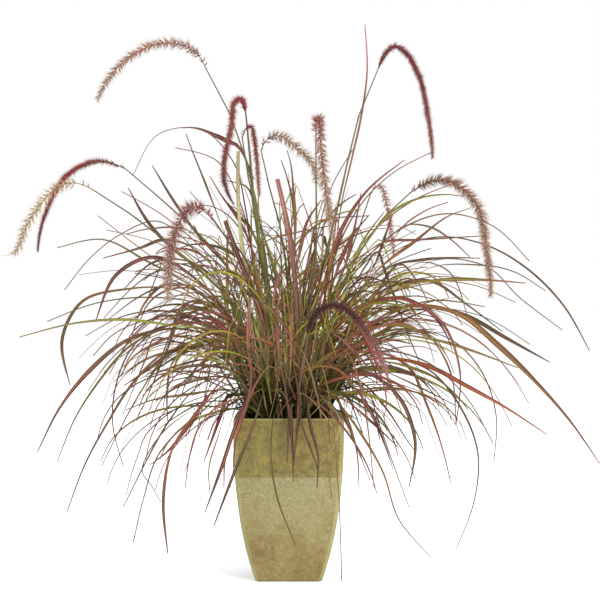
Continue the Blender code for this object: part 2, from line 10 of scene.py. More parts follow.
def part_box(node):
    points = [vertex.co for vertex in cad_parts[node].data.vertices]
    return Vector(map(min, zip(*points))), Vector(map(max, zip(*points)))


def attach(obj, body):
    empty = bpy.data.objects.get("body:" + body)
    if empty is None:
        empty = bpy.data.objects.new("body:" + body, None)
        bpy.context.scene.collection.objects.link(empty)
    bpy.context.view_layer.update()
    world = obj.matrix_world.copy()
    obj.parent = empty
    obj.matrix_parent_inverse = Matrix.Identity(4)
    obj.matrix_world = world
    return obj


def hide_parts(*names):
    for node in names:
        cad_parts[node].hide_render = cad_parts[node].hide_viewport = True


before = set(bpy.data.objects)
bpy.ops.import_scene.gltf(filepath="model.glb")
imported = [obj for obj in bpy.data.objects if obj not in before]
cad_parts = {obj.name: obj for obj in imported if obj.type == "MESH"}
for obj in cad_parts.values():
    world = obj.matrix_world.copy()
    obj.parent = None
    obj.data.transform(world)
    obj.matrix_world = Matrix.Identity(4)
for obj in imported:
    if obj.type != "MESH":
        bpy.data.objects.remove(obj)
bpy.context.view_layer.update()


# ---------------------------------------------------------------------------------------------
# The planter: a tall square pot cast in olive-ochre stoneware, straight at the rim and curving
# in to a narrow foot. Its corners are rounded, and a painted highlight runs down them and round
# the rim. Its lower part is a paler wash, the clay above it is darker, and mottling and iron
# specks cover the matt surface.
# ---------------------------------------------------------------------------------------------

POT_FOOT_WIDTH = 0.146
POT_TAPER_POWER = 2.5
POT_WALL = 0.013
POT_FLOOR = 0.022
POT_CORNER_RADIUS = 0.012
POT_INNER_RADIUS = 0.004
POT_LIP = 0.0016                 # rounding of the rim's and the foot's edges
POT_OUTER_LEVELS = 48
POT_INNER_LEVELS = 12
POT_CORNER_STEPS = 8
POT_SIDE_STEPS = 14
POT_UNEVEN = 0.0005              # how far the cast walls wander
POT_WANDER_SCALE = 14.0
POT_TRUE_FOOT = 0.03             # the walls wander less below this height
POT_CORNER_HIGHLIGHT_FADE = 0.6             # how much less painted highlight a corner has at its edges than between
POT_WASH_LINE = 0.233            # the height at which the paler wash ends
POT_WASH_WOBBLE = 0.0014
POT_LIP_STEP = 0.3               # of the lip, where its rounding has a ring between
POT_STAIN = (-0.045, -0.09, 0.078)      # the middle of the stain on the front face
POT_CREASE = math.radians(50.0)

pot_rim_half, _, pot_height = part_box("pot")[1]


def seen(red, green, blue):
    """A colour as the eye sees it, in steps of 255, as the shader's linear colour."""
    linear = []
    for step in (red, green, blue):
        share = step / 255.0
        linear.append(share / 12.92 if share <= 0.04045 else ((share + 0.055) / 1.055) ** 2.4)
    return (*linear, 1.0)


def lerp(a, b, t):
    return a + (b - a) * t


def add_node(tree, kind, inputs=None, **settings):
    """A node with its settings, whose inputs are linked to a socket or given a value."""
    made = tree.nodes.new(kind)
    for name, value in settings.items():
        setattr(made, name, value)
    for name, value in (inputs or {}).items():
        if isinstance(value, bpy.types.NodeSocket):
            tree.links.new(value, made.inputs[name])
        else:
            made.inputs[name].default_value = value
    return made


def new_material(name, **constants):
    """A material's tree and its shader, with the constant inputs set on the shader."""
    material = bpy.data.materials.new(name)
    material.use_nodes = True
    tree = material.node_tree
    shader = tree.nodes["Principled BSDF"]
    for label, value in constants.items():
        shader.inputs[label.replace("_", " ")].default_value = value
    return material, tree, shader


def attribute(tree, name, output="Fac"):
    return add_node(tree, "ShaderNodeAttribute", attribute_name=name).outputs[output]


def mixed(tree, factor, first, second, blend="MIX"):
    """Two colours mixed by a factor."""
    return add_node(tree, "ShaderNodeMix", {0: factor, 6: first, 7: second},
                    data_type="RGBA", blend_type=blend).outputs[2]


def ranged(tree, value, low, high, to_low=0.0, to_high=1.0, interpolation="LINEAR"):
    """A value between low and high, carried over to another range and clamped there."""
    return add_node(tree, "ShaderNodeMapRange",
                    {0: value, 1: low, 2: high, 3: to_low, 4: to_high},
                    interpolation_type=interpolation).outputs[0]


def washed(tree, colour, tint):
    """A colour with every part of it multiplied by a tint."""
    return mixed(tree, 1.0, colour, (*tint, 1.0), "MULTIPLY")


def axis_part(tree, vector, axis):
    return add_node(tree, "ShaderNodeSeparateXYZ", {0: vector}).outputs[axis]


def distance_from(tree, place, spot):
    return add_node(tree, "ShaderNodeVectorMath", {0: place, 1: spot},
                    operation="DISTANCE").outputs["Value"]


def scaled(tree, vector, scale):
    return add_node(tree, "ShaderNodeMapping", {"Vector": vector, "Scale": scale}).outputs[0]


def speckle(tree, vector, scale, detail=2.0, roughness=0.5):
    """Cloudy noise from 0 to 1."""
    return add_node(tree, "ShaderNodeTexNoise", {
        "Vector": vector, "Scale": scale, "Detail": detail, "Roughness": roughness}).outputs[0]


def object_place(tree):
    return add_node(tree, "ShaderNodeTexCoord").outputs["Object"]


def finish(tree, shader, colour, roughness=None, grain=None, strength=1.0, depth=0.0):
    """Links a finish to its shader: colour, roughness, and a grain of that depth."""
    tree.links.new(colour, shader.inputs["Base Color"])
    if roughness:
        tree.links.new(roughness, shader.inputs["Roughness"])
    if grain:
        bump = add_node(tree, "ShaderNodeBump", {"Height": grain, "Strength": strength,
                                                 "Distance": depth})
        tree.links.new(bump.outputs[0], shader.inputs["Normal"])


def calculated(tree, operation, *values):
    return add_node(tree, "ShaderNodeMath", dict(enumerate(values)),
                    operation=operation).outputs[0]


def product(tree, *factors):
    result = factors[0]
    for factor in factors[1:]:
        result = calculated(tree, "MULTIPLY", result, factor)
    return result


def plain_object(name, data):
    """An object at the origin, in the scene."""
    made = bpy.data.objects.new(name, data)
    bpy.context.scene.collection.objects.link(made)
    return made


def pot_half_width(z):
    taper = pot_rim_half - POT_FOOT_WIDTH / 2.0
    depth = max(0.0, 1.0 - z / pot_height)
    return pot_rim_half - taper * depth ** POT_TAPER_POWER


def rounded_square(half, radius):
    """The corners of a rounded square, each with the painted highlight that it gets for how far round a
    corner it lies.
    """
    centre = half - radius
    outline = []
    for quarter in range(4):
        turn = math.pi / 2.0 * quarter
        for step in range(POT_CORNER_STEPS + 1):
            share = step / POT_CORNER_STEPS
            angle = turn + math.pi / 2.0 * share
            corner = Vector((math.copysign(centre, math.cos(turn + math.pi / 4.0)),
                             math.copysign(centre, math.sin(turn + math.pi / 4.0))))
            point = corner + Vector((math.cos(angle), math.sin(angle))) * radius
            outline.append((point, 1.0 - abs(2.0 * share - 1.0) ** 3 * POT_CORNER_HIGHLIGHT_FADE))
        after = math.pi / 2.0 * (quarter + 1)
        start = outline[-1][0]
        along = Vector((-math.sin(after), math.cos(after))) * 2.0 * centre
        for step in range(1, POT_SIDE_STEPS):
            outline.append((start + along * step / POT_SIDE_STEPS, 0.0))
    return outline


def pot_rings():
    """Every ring of the pot from the middle of its foot, up the outside and down the inside."""
    lip, part, corner = POT_LIP, POT_LIP * POT_LIP_STEP, POT_CORNER_RADIUS
    foot, inner, top = pot_half_width(0.0), pot_rim_half - POT_WALL, pot_height
    rings = [(foot - lip, corner - lip, 0.0), (foot - part, corner - part, part)]
    for level in range(POT_OUTER_LEVELS + 1):
        z = lerp(lip, top - lip, level / POT_OUTER_LEVELS)
        rings.append((pot_half_width(z), corner, z))
    rings += [(pot_rim_half - part, corner - part, top - part),
              (pot_rim_half - lip, corner - lip, top),
              (inner + lip, POT_INNER_RADIUS + lip, top),
              (inner + part, POT_INNER_RADIUS + part, top - part)]
    for level in range(POT_INNER_LEVELS + 1):
        z = lerp(top - lip, POT_FLOOR, level / POT_INNER_LEVELS)
        rings.append((pot_half_width(z) - POT_WALL, POT_INNER_RADIUS, z))
    return rings


def bridge(bm, lower, upper):
    """A band of faces between two closed rings."""
    for i in range(len(lower)):
        j = (i + 1) % len(lower)
        bm.faces.new((lower[i], lower[j], upper[j], upper[i]))


def closed_mesh(bm, name, crease):
    """The plain mesh of a closed shell: faces outwards, smooth but for its creases."""
    bmesh.ops.recalc_face_normals(bm, faces=bm.faces)
    mesh = bpy.data.meshes.new(name)
    bm.to_mesh(mesh)
    bm.free()
    mesh.shade_smooth()
    mesh.set_sharp_from_angle(angle=crease)
    return mesh


def make_pot_mesh():
    bm = bmesh.new()
    highlight_layer = bm.verts.layers.float.new("edge_highlight")
    loops = []
    for half, radius, z in pot_rings():
        loop = []
        for point, edge_highlight in rounded_square(half, radius):
            place = Vector((point.x, point.y, z))
            wander = noise.noise(place * POT_WANDER_SCALE) * POT_UNEVEN * min(1.0, z / POT_TRUE_FOOT)
            outward = Vector((point.x, point.y, 0.0)).normalized()
            vert = bm.verts.new(place - outward * abs(wander))
            # The rim's top takes the full painted highlight.
            vert[highlight_layer] = 1.0 if z > pot_height - POT_LIP * 1.1 else edge_highlight
            loop.append(vert)
        loops.append(loop)
    for lower, upper in zip(loops, loops[1:]):
        bridge(bm, lower, upper)
    bm.faces.new(reversed(loops[0]))
    bm.faces.new(loops[-1])
    return closed_mesh(bm, "pot_stoneware", POT_CREASE)


def make_stoneware():
    material, tree, shader = new_material("olive_stoneware")
    place = object_place(tree)
    height = axis_part(tree, place, "Z")

    # The darker clay above the wash line, and the paler wash below it
    wash_line = calculated(tree, "MULTIPLY_ADD", speckle(tree, place, 60.0), POT_WASH_WOBBLE,
                           POT_WASH_LINE - POT_WASH_WOBBLE / 2.0)
    cast = ranged(tree, speckle(tree, place, 42.0, 5.0, 0.68), 0.32, 0.68)
    upper_band = mixed(tree, cast, seen(78, 68, 24), seen(120, 108, 48))
    wash = mixed(tree, ranged(tree, height, 0.0, 0.20), seen(112, 100, 52), seen(120, 114, 76))
    colour = mixed(tree, calculated(tree, "GREATER_THAN", height, wash_line), wash, upper_band)

    # Cloudy brown stains, most of them near the foot and low on the front face
    cloud = ranged(tree, speckle(tree, place, 16.0, 5.0, 0.6), 0.42, 0.62)
    low_stain = ranged(tree, height, 0.015, 0.14, 0.70, 0.14)
    front_stain = ranged(tree, distance_from(tree, place, POT_STAIN), 0.02, 0.055, 0.9, 0.0)
    stain = product(tree, cloud, calculated(tree, "MAXIMUM", low_stain, front_stain))
    colour = mixed(tree, stain, colour, seen(98, 78, 37))

    # The mottle of the clay, and a fine weave left by the mould's cloth
    mottle = ranged(tree, speckle(tree, place, 105.0, 3.0, 0.7), 0.36, 0.64)
    colour = mixed(tree, product(tree, mottle, 0.55), colour,
                   washed(tree, colour, (0.62, 0.60, 0.52)))
    threads = speckle(tree, scaled(tree, place, (640.0, 640.0, 150.0)), 1.0, 1.0)
    rows = speckle(tree, scaled(tree, place, (150.0, 150.0, 560.0)), 1.0, 1.0)
    weave = product(tree, threads, rows)
    colour = mixed(tree, product(tree, ranged(tree, weave, 0.12, 0.40), 0.85), colour,
                   washed(tree, colour, (1.62, 1.58, 1.50)))

    # Iron specks and pinholes, large and small
    for cells, size, share in ((105.0, 0.17, 0.62), (230.0, 0.26, 0.50)):
        specks = add_node(tree, "ShaderNodeTexVoronoi", {"Vector": place, "Scale": cells})
        chance = add_node(tree, "ShaderNodeSeparateColor",
                          {0: specks.outputs["Color"]}).outputs[0]
        iron = product(tree, calculated(tree, "LESS_THAN", specks.outputs["Distance"], size),
                       calculated(tree, "GREATER_THAN", chance, share))
        colour = mixed(tree, product(tree, iron, 0.5), colour, seen(56, 44, 16))

    # Painted highlight: lighter clay down the rounded corners and round the rim's top.
    edge_highlight = ranged(tree, attribute(tree, "edge_highlight"), 0.62, 1.0, 0.0, 0.5)
    colour = mixed(tree, edge_highlight, colour, seen(150, 146, 92))
    foot_line = ranged(tree, height, 0.0016, 0.0036, 0.55, 0.0)
    colour = mixed(tree, foot_line, colour, seen(70, 58, 26))
    grain = calculated(tree, "SUBTRACT", weave, product(tree, iron, 0.4))
    finish(tree, shader, colour, ranged(tree, cloud, 0.0, 1.0, 0.62, 0.80), grain, 0.35, 0.0012)
    return material


pot = plain_object("stoneware_pot", make_pot_mesh())
pot.data.materials.append(make_stoneware())
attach(pot, "root")
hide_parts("pot")


# ---------------------------------------------------------------------------------------------
# The potting soil: dark peat and shredded bark, strewn with loose chips. It fills the pot to
# just below the rim and is heaped a little towards the crown of the clump.
# ---------------------------------------------------------------------------------------------

SOIL_EDGE = 0.338
SOIL_CROWN = 0.348
SOIL_GAP = 0.0003
SOIL_ROUGH = 0.0035
SOIL_CLODS = ((55.0, 0.6), (170.0, 0.4))     # how fine, and their share of the roughness
SOIL_HEAP = 0.75                 # it is heaped in full this share of the way to the wall
SOIL_CELLS = 56
SOIL_DEPTH_LEVELS = 8
SOIL_CREASE = math.radians(60.0)
CHIP_SPACING = 0.0065
CHIP_SHAPE = (1.0, 0.34, 0.16)
CHIP_LENGTH = (0.004, 0.011)
CHIP_SEED = 5


def new_tree(name, **inputs):
    """A Geometry Nodes tree, its named inputs listed by their kind, and its input node."""
    tree = bpy.data.node_groups.new(name, "GeometryNodeTree")
    add_socket = tree.interface.new_socket
    add_socket("Geometry", in_out="INPUT", socket_type="NodeSocketGeometry")
    add_socket("Geometry", in_out="OUTPUT", socket_type="NodeSocketGeometry")
    for kind, labels in {**inputs, "Material": ["Material"]}.items():
        for label in labels:
            add_socket(label, in_out="INPUT", socket_type=f"NodeSocket{kind}")
    return tree, tree.nodes.new("NodeGroupInput").outputs


def step(tree, kind, inputs=None, **settings):
    """A step of a tree, by its kind, that gives what the next step works on."""
    return add_node(tree, f"GeometryNode{kind}", inputs, **settings).outputs[0]


def joined(tree, *parts):
    both = add_node(tree, "GeometryNodeJoinGeometry")
    for part in parts:
        tree.links.new(part, both.inputs[0])
    return both.outputs[0]


def random_value(tree, low, high, seed):
    """A random number, or vector, for each point."""
    if isinstance(low, tuple):
        return add_node(tree, "FunctionNodeRandomValue", {0: low, 1: high, 8: seed},
                        data_type="FLOAT_VECTOR").outputs[0]
    return add_node(tree, "FunctionNodeRandomValue", {2: low, 3: high, 8: seed},
                    data_type="FLOAT").outputs[1]


def turned(tree, angles):
    return add_node(tree, "FunctionNodeEulerToRotation", {0: angles}).outputs[0]


def close_tree(tree, geometry, material):
    """Ends a tree: instances made real, shaded smooth and given their material."""
    real = step(tree, "RealizeInstances", {0: geometry})
    smooth = step(tree, "SetShadeSmooth", {0: real})
    dressed = step(tree, "SetMaterial", {0: smooth, "Material": material})
    tree.links.new(dressed, tree.nodes.new("NodeGroupOutput").inputs[0])
    return tree


def grown_mesh(guide, tree, values):
    """The plain mesh that the tree makes from a guide mesh."""
    carrier = plain_object("guide", guide)
    modifier = carrier.modifiers.new("growth", "NODES")
    modifier.node_group = tree
    for item in tree.interface.items_tree:
        if item.in_out == "INPUT" and item.name in values:
            modifier[item.identifier] = values[item.name]
    evaluated = carrier.evaluated_get(bpy.context.evaluated_depsgraph_get())
    mesh = bpy.data.meshes.new_from_object(evaluated)
    bpy.data.objects.remove(carrier)
    return mesh


def soil_height(x, y):
    """The heaped surface, with clods on it that die out at the pot's wall."""
    half = pot_half_width(SOIL_EDGE) - POT_WALL
    edge = max(abs(x), abs(y)) / half
    heap = lerp(SOIL_CROWN, SOIL_EDGE, max(0.0, (edge - SOIL_HEAP) / (1.0 - SOIL_HEAP)))
    place = Vector((x, y, 0.0))
    clods = sum(noise.noise(place * scale) * share for scale, share in SOIL_CLODS)
    return heap + clods * SOIL_ROUGH * (1.0 - edge ** 6)


def make_soil_mesh():
    """A grid of clods on top, and walls down to the pot's floor."""
    bm = bmesh.new()
    cells = SOIL_CELLS
    half = pot_half_width(SOIL_EDGE) - POT_WALL - SOIL_GAP
    grid = []
    for i in range(cells + 1):
        x = lerp(-half, half, i / cells)
        ys = [lerp(-half, half, j / cells) for j in range(cells + 1)]
        grid.append([bm.verts.new((x, y, soil_height(x, y))) for y in ys])
    for i in range(cells):
        for j in range(cells):
            bm.faces.new((grid[i][j], grid[i + 1][j], grid[i + 1][j + 1], grid[i][j + 1]))
    rim = [grid[i][0] for i in range(cells)] + [grid[cells][j] for j in range(cells)]
    rim += [grid[i][cells] for i in range(cells, 0, -1)]
    rim += [grid[0][j] for j in range(cells, 0, -1)]
    upper = rim
    for level in range(1, SOIL_DEPTH_LEVELS + 1):
        z = lerp(SOIL_EDGE, POT_FLOOR + SOIL_GAP, level / SOIL_DEPTH_LEVELS)
        share = (pot_half_width(z) - POT_WALL - SOIL_GAP) / half
        lower = [bm.verts.new((v.co.x * share, v.co.y * share, z)) for v in rim]
        bridge(bm, lower, upper)
        upper = lower
    bm.faces.new(reversed(upper))
    return closed_mesh(bm, "soil_body", SOIL_CREASE)


def make_potting_mix():
    material, tree, shader = new_material("potting_mix", Roughness=0.92)
    place = object_place(tree)
    clod = speckle(tree, place, 160.0, 5.0, 0.7)
    shade = mixed(tree, ranged(tree, clod, 0.35, 0.68), seen(30, 22, 14), seen(86, 64, 44))
    fibres = speckle(tree, scaled(tree, place, (900.0, 240.0, 240.0)), 1.0, 2.0)
    shade = mixed(tree, ranged(tree, fibres, 0.62, 0.72, 0.0, 0.6), shade, seen(128, 98, 66))
    finish(tree, shader, shade, None, clod, 0.8, 0.004)
    return material


def make_chip_tree():
    """Splinters of bark lying at random on the soil, none closer than the spacing."""
    tree, given = new_tree("bark_chips", Float=["Spacing", "Shortest", "Longest"], Int=["Seed"])
    upward = axis_part(tree, step(tree, "InputNormal"), "Z")
    on_top = add_node(tree, "FunctionNodeCompare", {0: upward, 1: 0.5},
                      operation="GREATER_THAN").outputs[0]
    spots = step(tree, "DistributePointsOnFaces", {
        "Mesh": given["Geometry"], "Selection": on_top, "Distance Min": given["Spacing"],
        "Density Max": 30000.0, "Seed": given["Seed"]}, distribute_method="POISSON")
    chip = step(tree, "MeshCube", {"Size": CHIP_SHAPE, 1: 3, 2: 2, 3: 2})
    ragged = random_value(tree, (-0.10, -0.10, -0.05), (0.10, 0.10, 0.05), 3)
    chip = step(tree, "SetPosition", {0: chip, "Offset": ragged})
    length = random_value(tree, given["Shortest"], given["Longest"], given["Seed"])
    turn = random_value(tree, (-0.5, -0.5, 0.0), (0.5, 0.5, 6.28), given["Seed"])
    chips = step(tree, "InstanceOnPoints", {
        0: spots, "Instance": chip, "Rotation": turned(tree, turn), "Scale": length})
    return close_tree(tree, joined(tree, chips, given["Geometry"]), given["Material"])


soil = plain_object("potting_soil", grown_mesh(make_soil_mesh(), make_chip_tree(), {
    "Spacing": CHIP_SPACING, "Shortest": CHIP_LENGTH[0], "Longest": CHIP_LENGTH[1],
    "Seed": CHIP_SEED, "Material": make_potting_mix()}))
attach(soil, "root")
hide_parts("soil")


# ---------------------------------------------------------------------------------------------
# The leafy shoots: bundles of leaf sheaths that open into long narrow blades with a channelled
# face. They grow from the crown and arch over under their own weight, green near the root,
# flushed red along the margins, and burgundy to grey-purple towards the tip.
# ---------------------------------------------------------------------------------------------

LEAF_SEGMENT = 0.014
LEAF_FOLD = 0.42                 # depth of the channel, as a share of the half width
LEAF_THICKNESS = 0.34            # at the midrib, as a share of the half width
LEAF_CREASE = math.radians(32.0)
LEAF_GUIDE_STEPS = 9
# How a blade narrows: the half width that it runs out to; its width at the root, as a share of
# its widest; how late it broadens, where higher is later; and how late it tapers
LEAF_SHAPE = (0.0010, 0.40, 2.0, 1.0)
LONG_LEAF_SHAPE = (0.0010, 0.28, 4.5, 0.65)
CUT_LEAF_END, CUT_LEAF_SHAPE = 0.9, (0.5, 1.0, 1.0)     # a share of its widest, and the rest
LEAF_WIDEST = (0.30, 0.62)       # where a blade is widest, as a share of its length
LONG_LEAF_WIDEST = (0.50, 0.70)
SHEATH_HALF_WIDTH = 0.0026
LEAF_HALF_WIDTH = (0.0015, 0.0044)
NARROW_LEAVES = 1.8              # the higher, the more of them are near the narrow end
LEAF_LENGTH = (0.18, 0.54)
LEAF_LENGTH_SHARE = (1.1, 0.75)  # of that, at the foot and the top of a culm
LEAF_OPENING = (1.20, 0.20)      # how far a leaf opens from its culm, at the foot and the top
LEAF_OPENING_SPREAD = (0.5, 1.5)
LEAF_DROOP = (0.3, 3.1, 1.8)     # how much more its tip leans: least, most and usual
LEAF_DROOP_SHARE = (0.35, 0.85)  # of that for an upright blade, and what a level one adds
MOST_LEAN = 2.9
LEAF_BEND = (0.7, 2.6)           # how late it bends over: higher is later
LEAF_SWAY = 0.9
LEAF_TWIST = 1.2
LEAF_ROLL, SHOWN_LEAF_ROLL = (0.45, 1.5), 0.4
LEAF_LIGHT, SHOWN_LEAF_LIGHT = (0.30, 1.46), (0.60, 0.94)
LEAF_PURITY = 1.10               # the pale light around washes a leaf's colour out by this much
LEAF_TRIES = 40
KINKED_LEAVES = 0.14
KINK_STEPS = (3, 6)              # between which steps along a blade it kinks
KINKED_LEAN = 2.75               # how a blade hangs past its kink, in radians from upright
VEILING_LEAVES = 0.20            # of those that would hang before the heart or the planter
VEIL_HALF_WIDTH = 0.12
PLANTER_VEIL = (-0.09, 0.34)     # what hangs further forward and lower than this
HEART_VEIL = (-0.13, 0.43)       # and further forward and higher than this
THIN_PLACES = ((-0.47, -0.23, 0.59, 0.70), (0.15, 0.24, 0.68, 0.76))    # across and up
THIN_LEAVES = 0.35               # of those that would reach such a place
CLUMP_REACH = 0.086              # how far from the middle its outer shoots stand
FOOT_REACH = CLUMP_REACH * 1.2   # no sheath stands further out than this
ON_SOIL = 0.001                  # what is this near the soil's crown stands on it
FEWEST_BLADE_RINGS = 5
CLUMP_DOME = (0.45, 0.52, 0.38)  # how far leaves reach out, and up from the height given last
CLUMP_HEART = (0.0, 0.0, 0.42)
LOWEST_TIP = 0.14
CULMS = 3                        # leafy culms in a shoot
JOINTS_WITH_LEAF = 0.46
CULM_HEIGHT = (0.12, 0.43)
FRONT_CULM_HEIGHT = 0.55         # of the culms nearest the front face, as a share of that
CULM_LEAN = 0.48                 # lean of a culm at the clump's edge
CULM_LEAN_SPREAD = (-0.10, 0.20)
CULM_LEAN_SHARE = (0.5, 1.3)     # of its lean, at its foot and its top
CULM_STRAY = (0.7, 0.3)          # from its way out, and how much less of it at the clump's edge
RANK_STRAY = (0.35, 0.06)        # of a leaf from its rank, and what each further try adds
CULM_SPACE = 0.005               # between a shoot's culms
INWARD_LEAVES_TURNED = 0.45      # of those at the clump's edge
YOUNG_LEAVES = 22                # in a shoot
YOUNG_LEAF_LENGTH = (0.05, 0.17)
YOUNG_LEAF_WIDTH = (0.0016, 0.0038)     # half of it
YOUNG_LEAF_WIDEST = 0.45
YOUNG_LEAF_SPREAD = (0.002, 0.030)      # from the shoot's foot
YOUNG_LEAF_LEAN = 1.4
YOUNG_LEAF_DROOP = (0.2, 1.7)
YOUNG_LEAF_BEND = 1.2
YOUNG_LEAF_STRAY, YOUNG_LEAF_SWAY = 1.5, 1.0
YOUNG_LEAF_RISE = 0.01           # its tip is at least this far above the soil
POT_CLEARANCE = 0.004
LEAF_SEED = 54

# A leaf's colours from its root over its middle to its tip, and how often it grows that way:
# those with a zero are only for leaves that are named or set below
LEAF_COLOURS = {
    "green": ([(178, 182, 82), (136, 142, 46), (102, 102, 40)], 24),
    "olive": ([(168, 164, 70), (124, 116, 38), (90, 78, 36)], 21),
    "umber": ([(152, 144, 62), (116, 86, 38), (92, 60, 38)], 13),
    "bronze": ([(164, 148, 72), (138, 88, 48), (94, 56, 40)], 12),
    "rose": ([(170, 146, 94), (154, 90, 78), (120, 60, 58)], 14),
    "mauve": ([(162, 138, 98), (150, 98, 92), (118, 74, 72)], 9),
    "crimson": ([(150, 108, 74), (134, 50, 56), (92, 36, 42)], 8),
    "plum": ([(130, 112, 69), (94, 50, 54), (70, 40, 46)], 7),
    "burgundy": ([(138, 112, 62), (100, 40, 44), (66, 32, 36)], 11),
    "dusk": ([(116, 116, 53), (76, 62, 36), (58, 44, 34)], 13),
    "smoke": ([(128, 122, 69), (88, 72, 52), (80, 66, 55)], 9),
    "straw": ([(196, 186, 132), (176, 154, 112), (150, 124, 92)], 3),
    "fern": ([(132, 138, 54), (96, 104, 34), (78, 76, 34)], 13),
    "rust": ([(132, 112, 57), (146, 72, 43), (122, 58, 40)], 0),
    "dusty": ([(172, 134, 120), (158, 110, 108), (146, 98, 98)], 0),
    "moss": ([(104, 110, 40), (98, 92, 38), (82, 64, 33)], 0),
    "flushed": ([(104, 116, 50), (96, 98, 48), (128, 66, 62)], 0),
    "lime": ([(152, 158, 52), (112, 104, 45), (116, 86, 60)], 0),
    "pale": ([(150, 160, 100), (168, 174, 122), (184, 186, 144)], 0),
    "turning": ([(140, 146, 72), (112, 116, 50), (60, 52, 36)], 0),
}
SHEATH_COLOUR = (196, 196, 128)
SHEATH_SHARE = 0.45
LEAF_MIDDLE, LEAF_TURN = 0.36, 0.44      # where the second colour is, and how far to the third

# The longest leaves, by where their tips hang when the pot is faced: across and up, with
# their colour, half width, and the share of their length where they are widest. Lengths are
# in millimetres, as they are for the leaves set one by one
LONG_LEAVES = [
    (-515, 570, "fern", 1.9, 0.6), (-550, 540, "green", 3.0, 0.7),
    (-500, 420, "turning", 3.8, 0.87), (-405, 570, "plum", 4.6, 0.82),
    (-540, 640, "smoke", 1.4, 0.6), (-505, 730, "olive", 2.4, 0.7),
    (-440, 810, "straw", 1.9, 0.5), (-360, 850, "rose", 1.5, 0.6),
    (-320, 930, "smoke", 3.3, 0.85), (-380, 880, "burgundy", 3.9, 0.84),
    (-340, 890, "smoke", 1.8, 0.5), (-265, 970, "burgundy", 1.7, 0.6),
    (-520, 300, "dusk", 5.0, 0.74), (-530, 245, "olive", 2.9, 0.7),
    (-395, 220, "plum", 2.1, 0.7), (-455, 180, "dusk", 3.1, 0.65),
    (-430, 235, "green", 2.4, 0.6), (-250, 90, "bronze", 3.7, 0.84),
    (-360, 165, "smoke", 2.4, 0.7), (715, 495, "dusk", 2.5, 0.86),
    (520, 700, "smoke", 1.7, 0.6), (640, 280, "umber", 6.8, 0.66),
    (590, 475, "dusk", 5.4, 0.80), (510, 540, "umber", 4.0, 0.7),
    (350, 355, "crimson", 3.8, 0.62), (540, 335, "rust", 5.9, 0.62),
    (480, 235, "smoke", 1.9, 0.75), (355, 90, "dusk", 2.4, 0.6),
    (250, 225, "burgundy", 5.2, 0.75), (370, 195, "umber", 3.2, 0.7),
    (15, 100, "moss", 3.0, 0.6), (10, 230, "plum", 4.8, 0.48),
    (15, 310, "plum", 3.4, 0.6), (60, 220, "burgundy", 4.2, 0.50),
    (-155, 145, "dusk", 4.2, 0.7), (-175, 170, "burgundy", 4.8, 0.78),
    (295, 85, "lime", 3.2, 0.5), (150, 215, "bronze", 2.6, 0.6),
    (175, 1255, "flushed", 2.6, 0.80), (-110, 940, "pale", 4.8, 0.5),
    (-25, 880, "dusty", 5.8, 0.5), (-135, 785, "burgundy", 5.4, 0.5),
    (255, 925, "rose", 4.6, 0.7), (335, 965, "smoke", 1.9, 0.6),
    (395, 890, "fern", 1.7, 0.75), (145, 960, "smoke", 1.5, 0.6),
    (82, 260, "lime", 1.6, 0.6), (101, 104, "olive", 1.0, 0.5), (162, 266, "bronze", 2.2, 0.6),
]
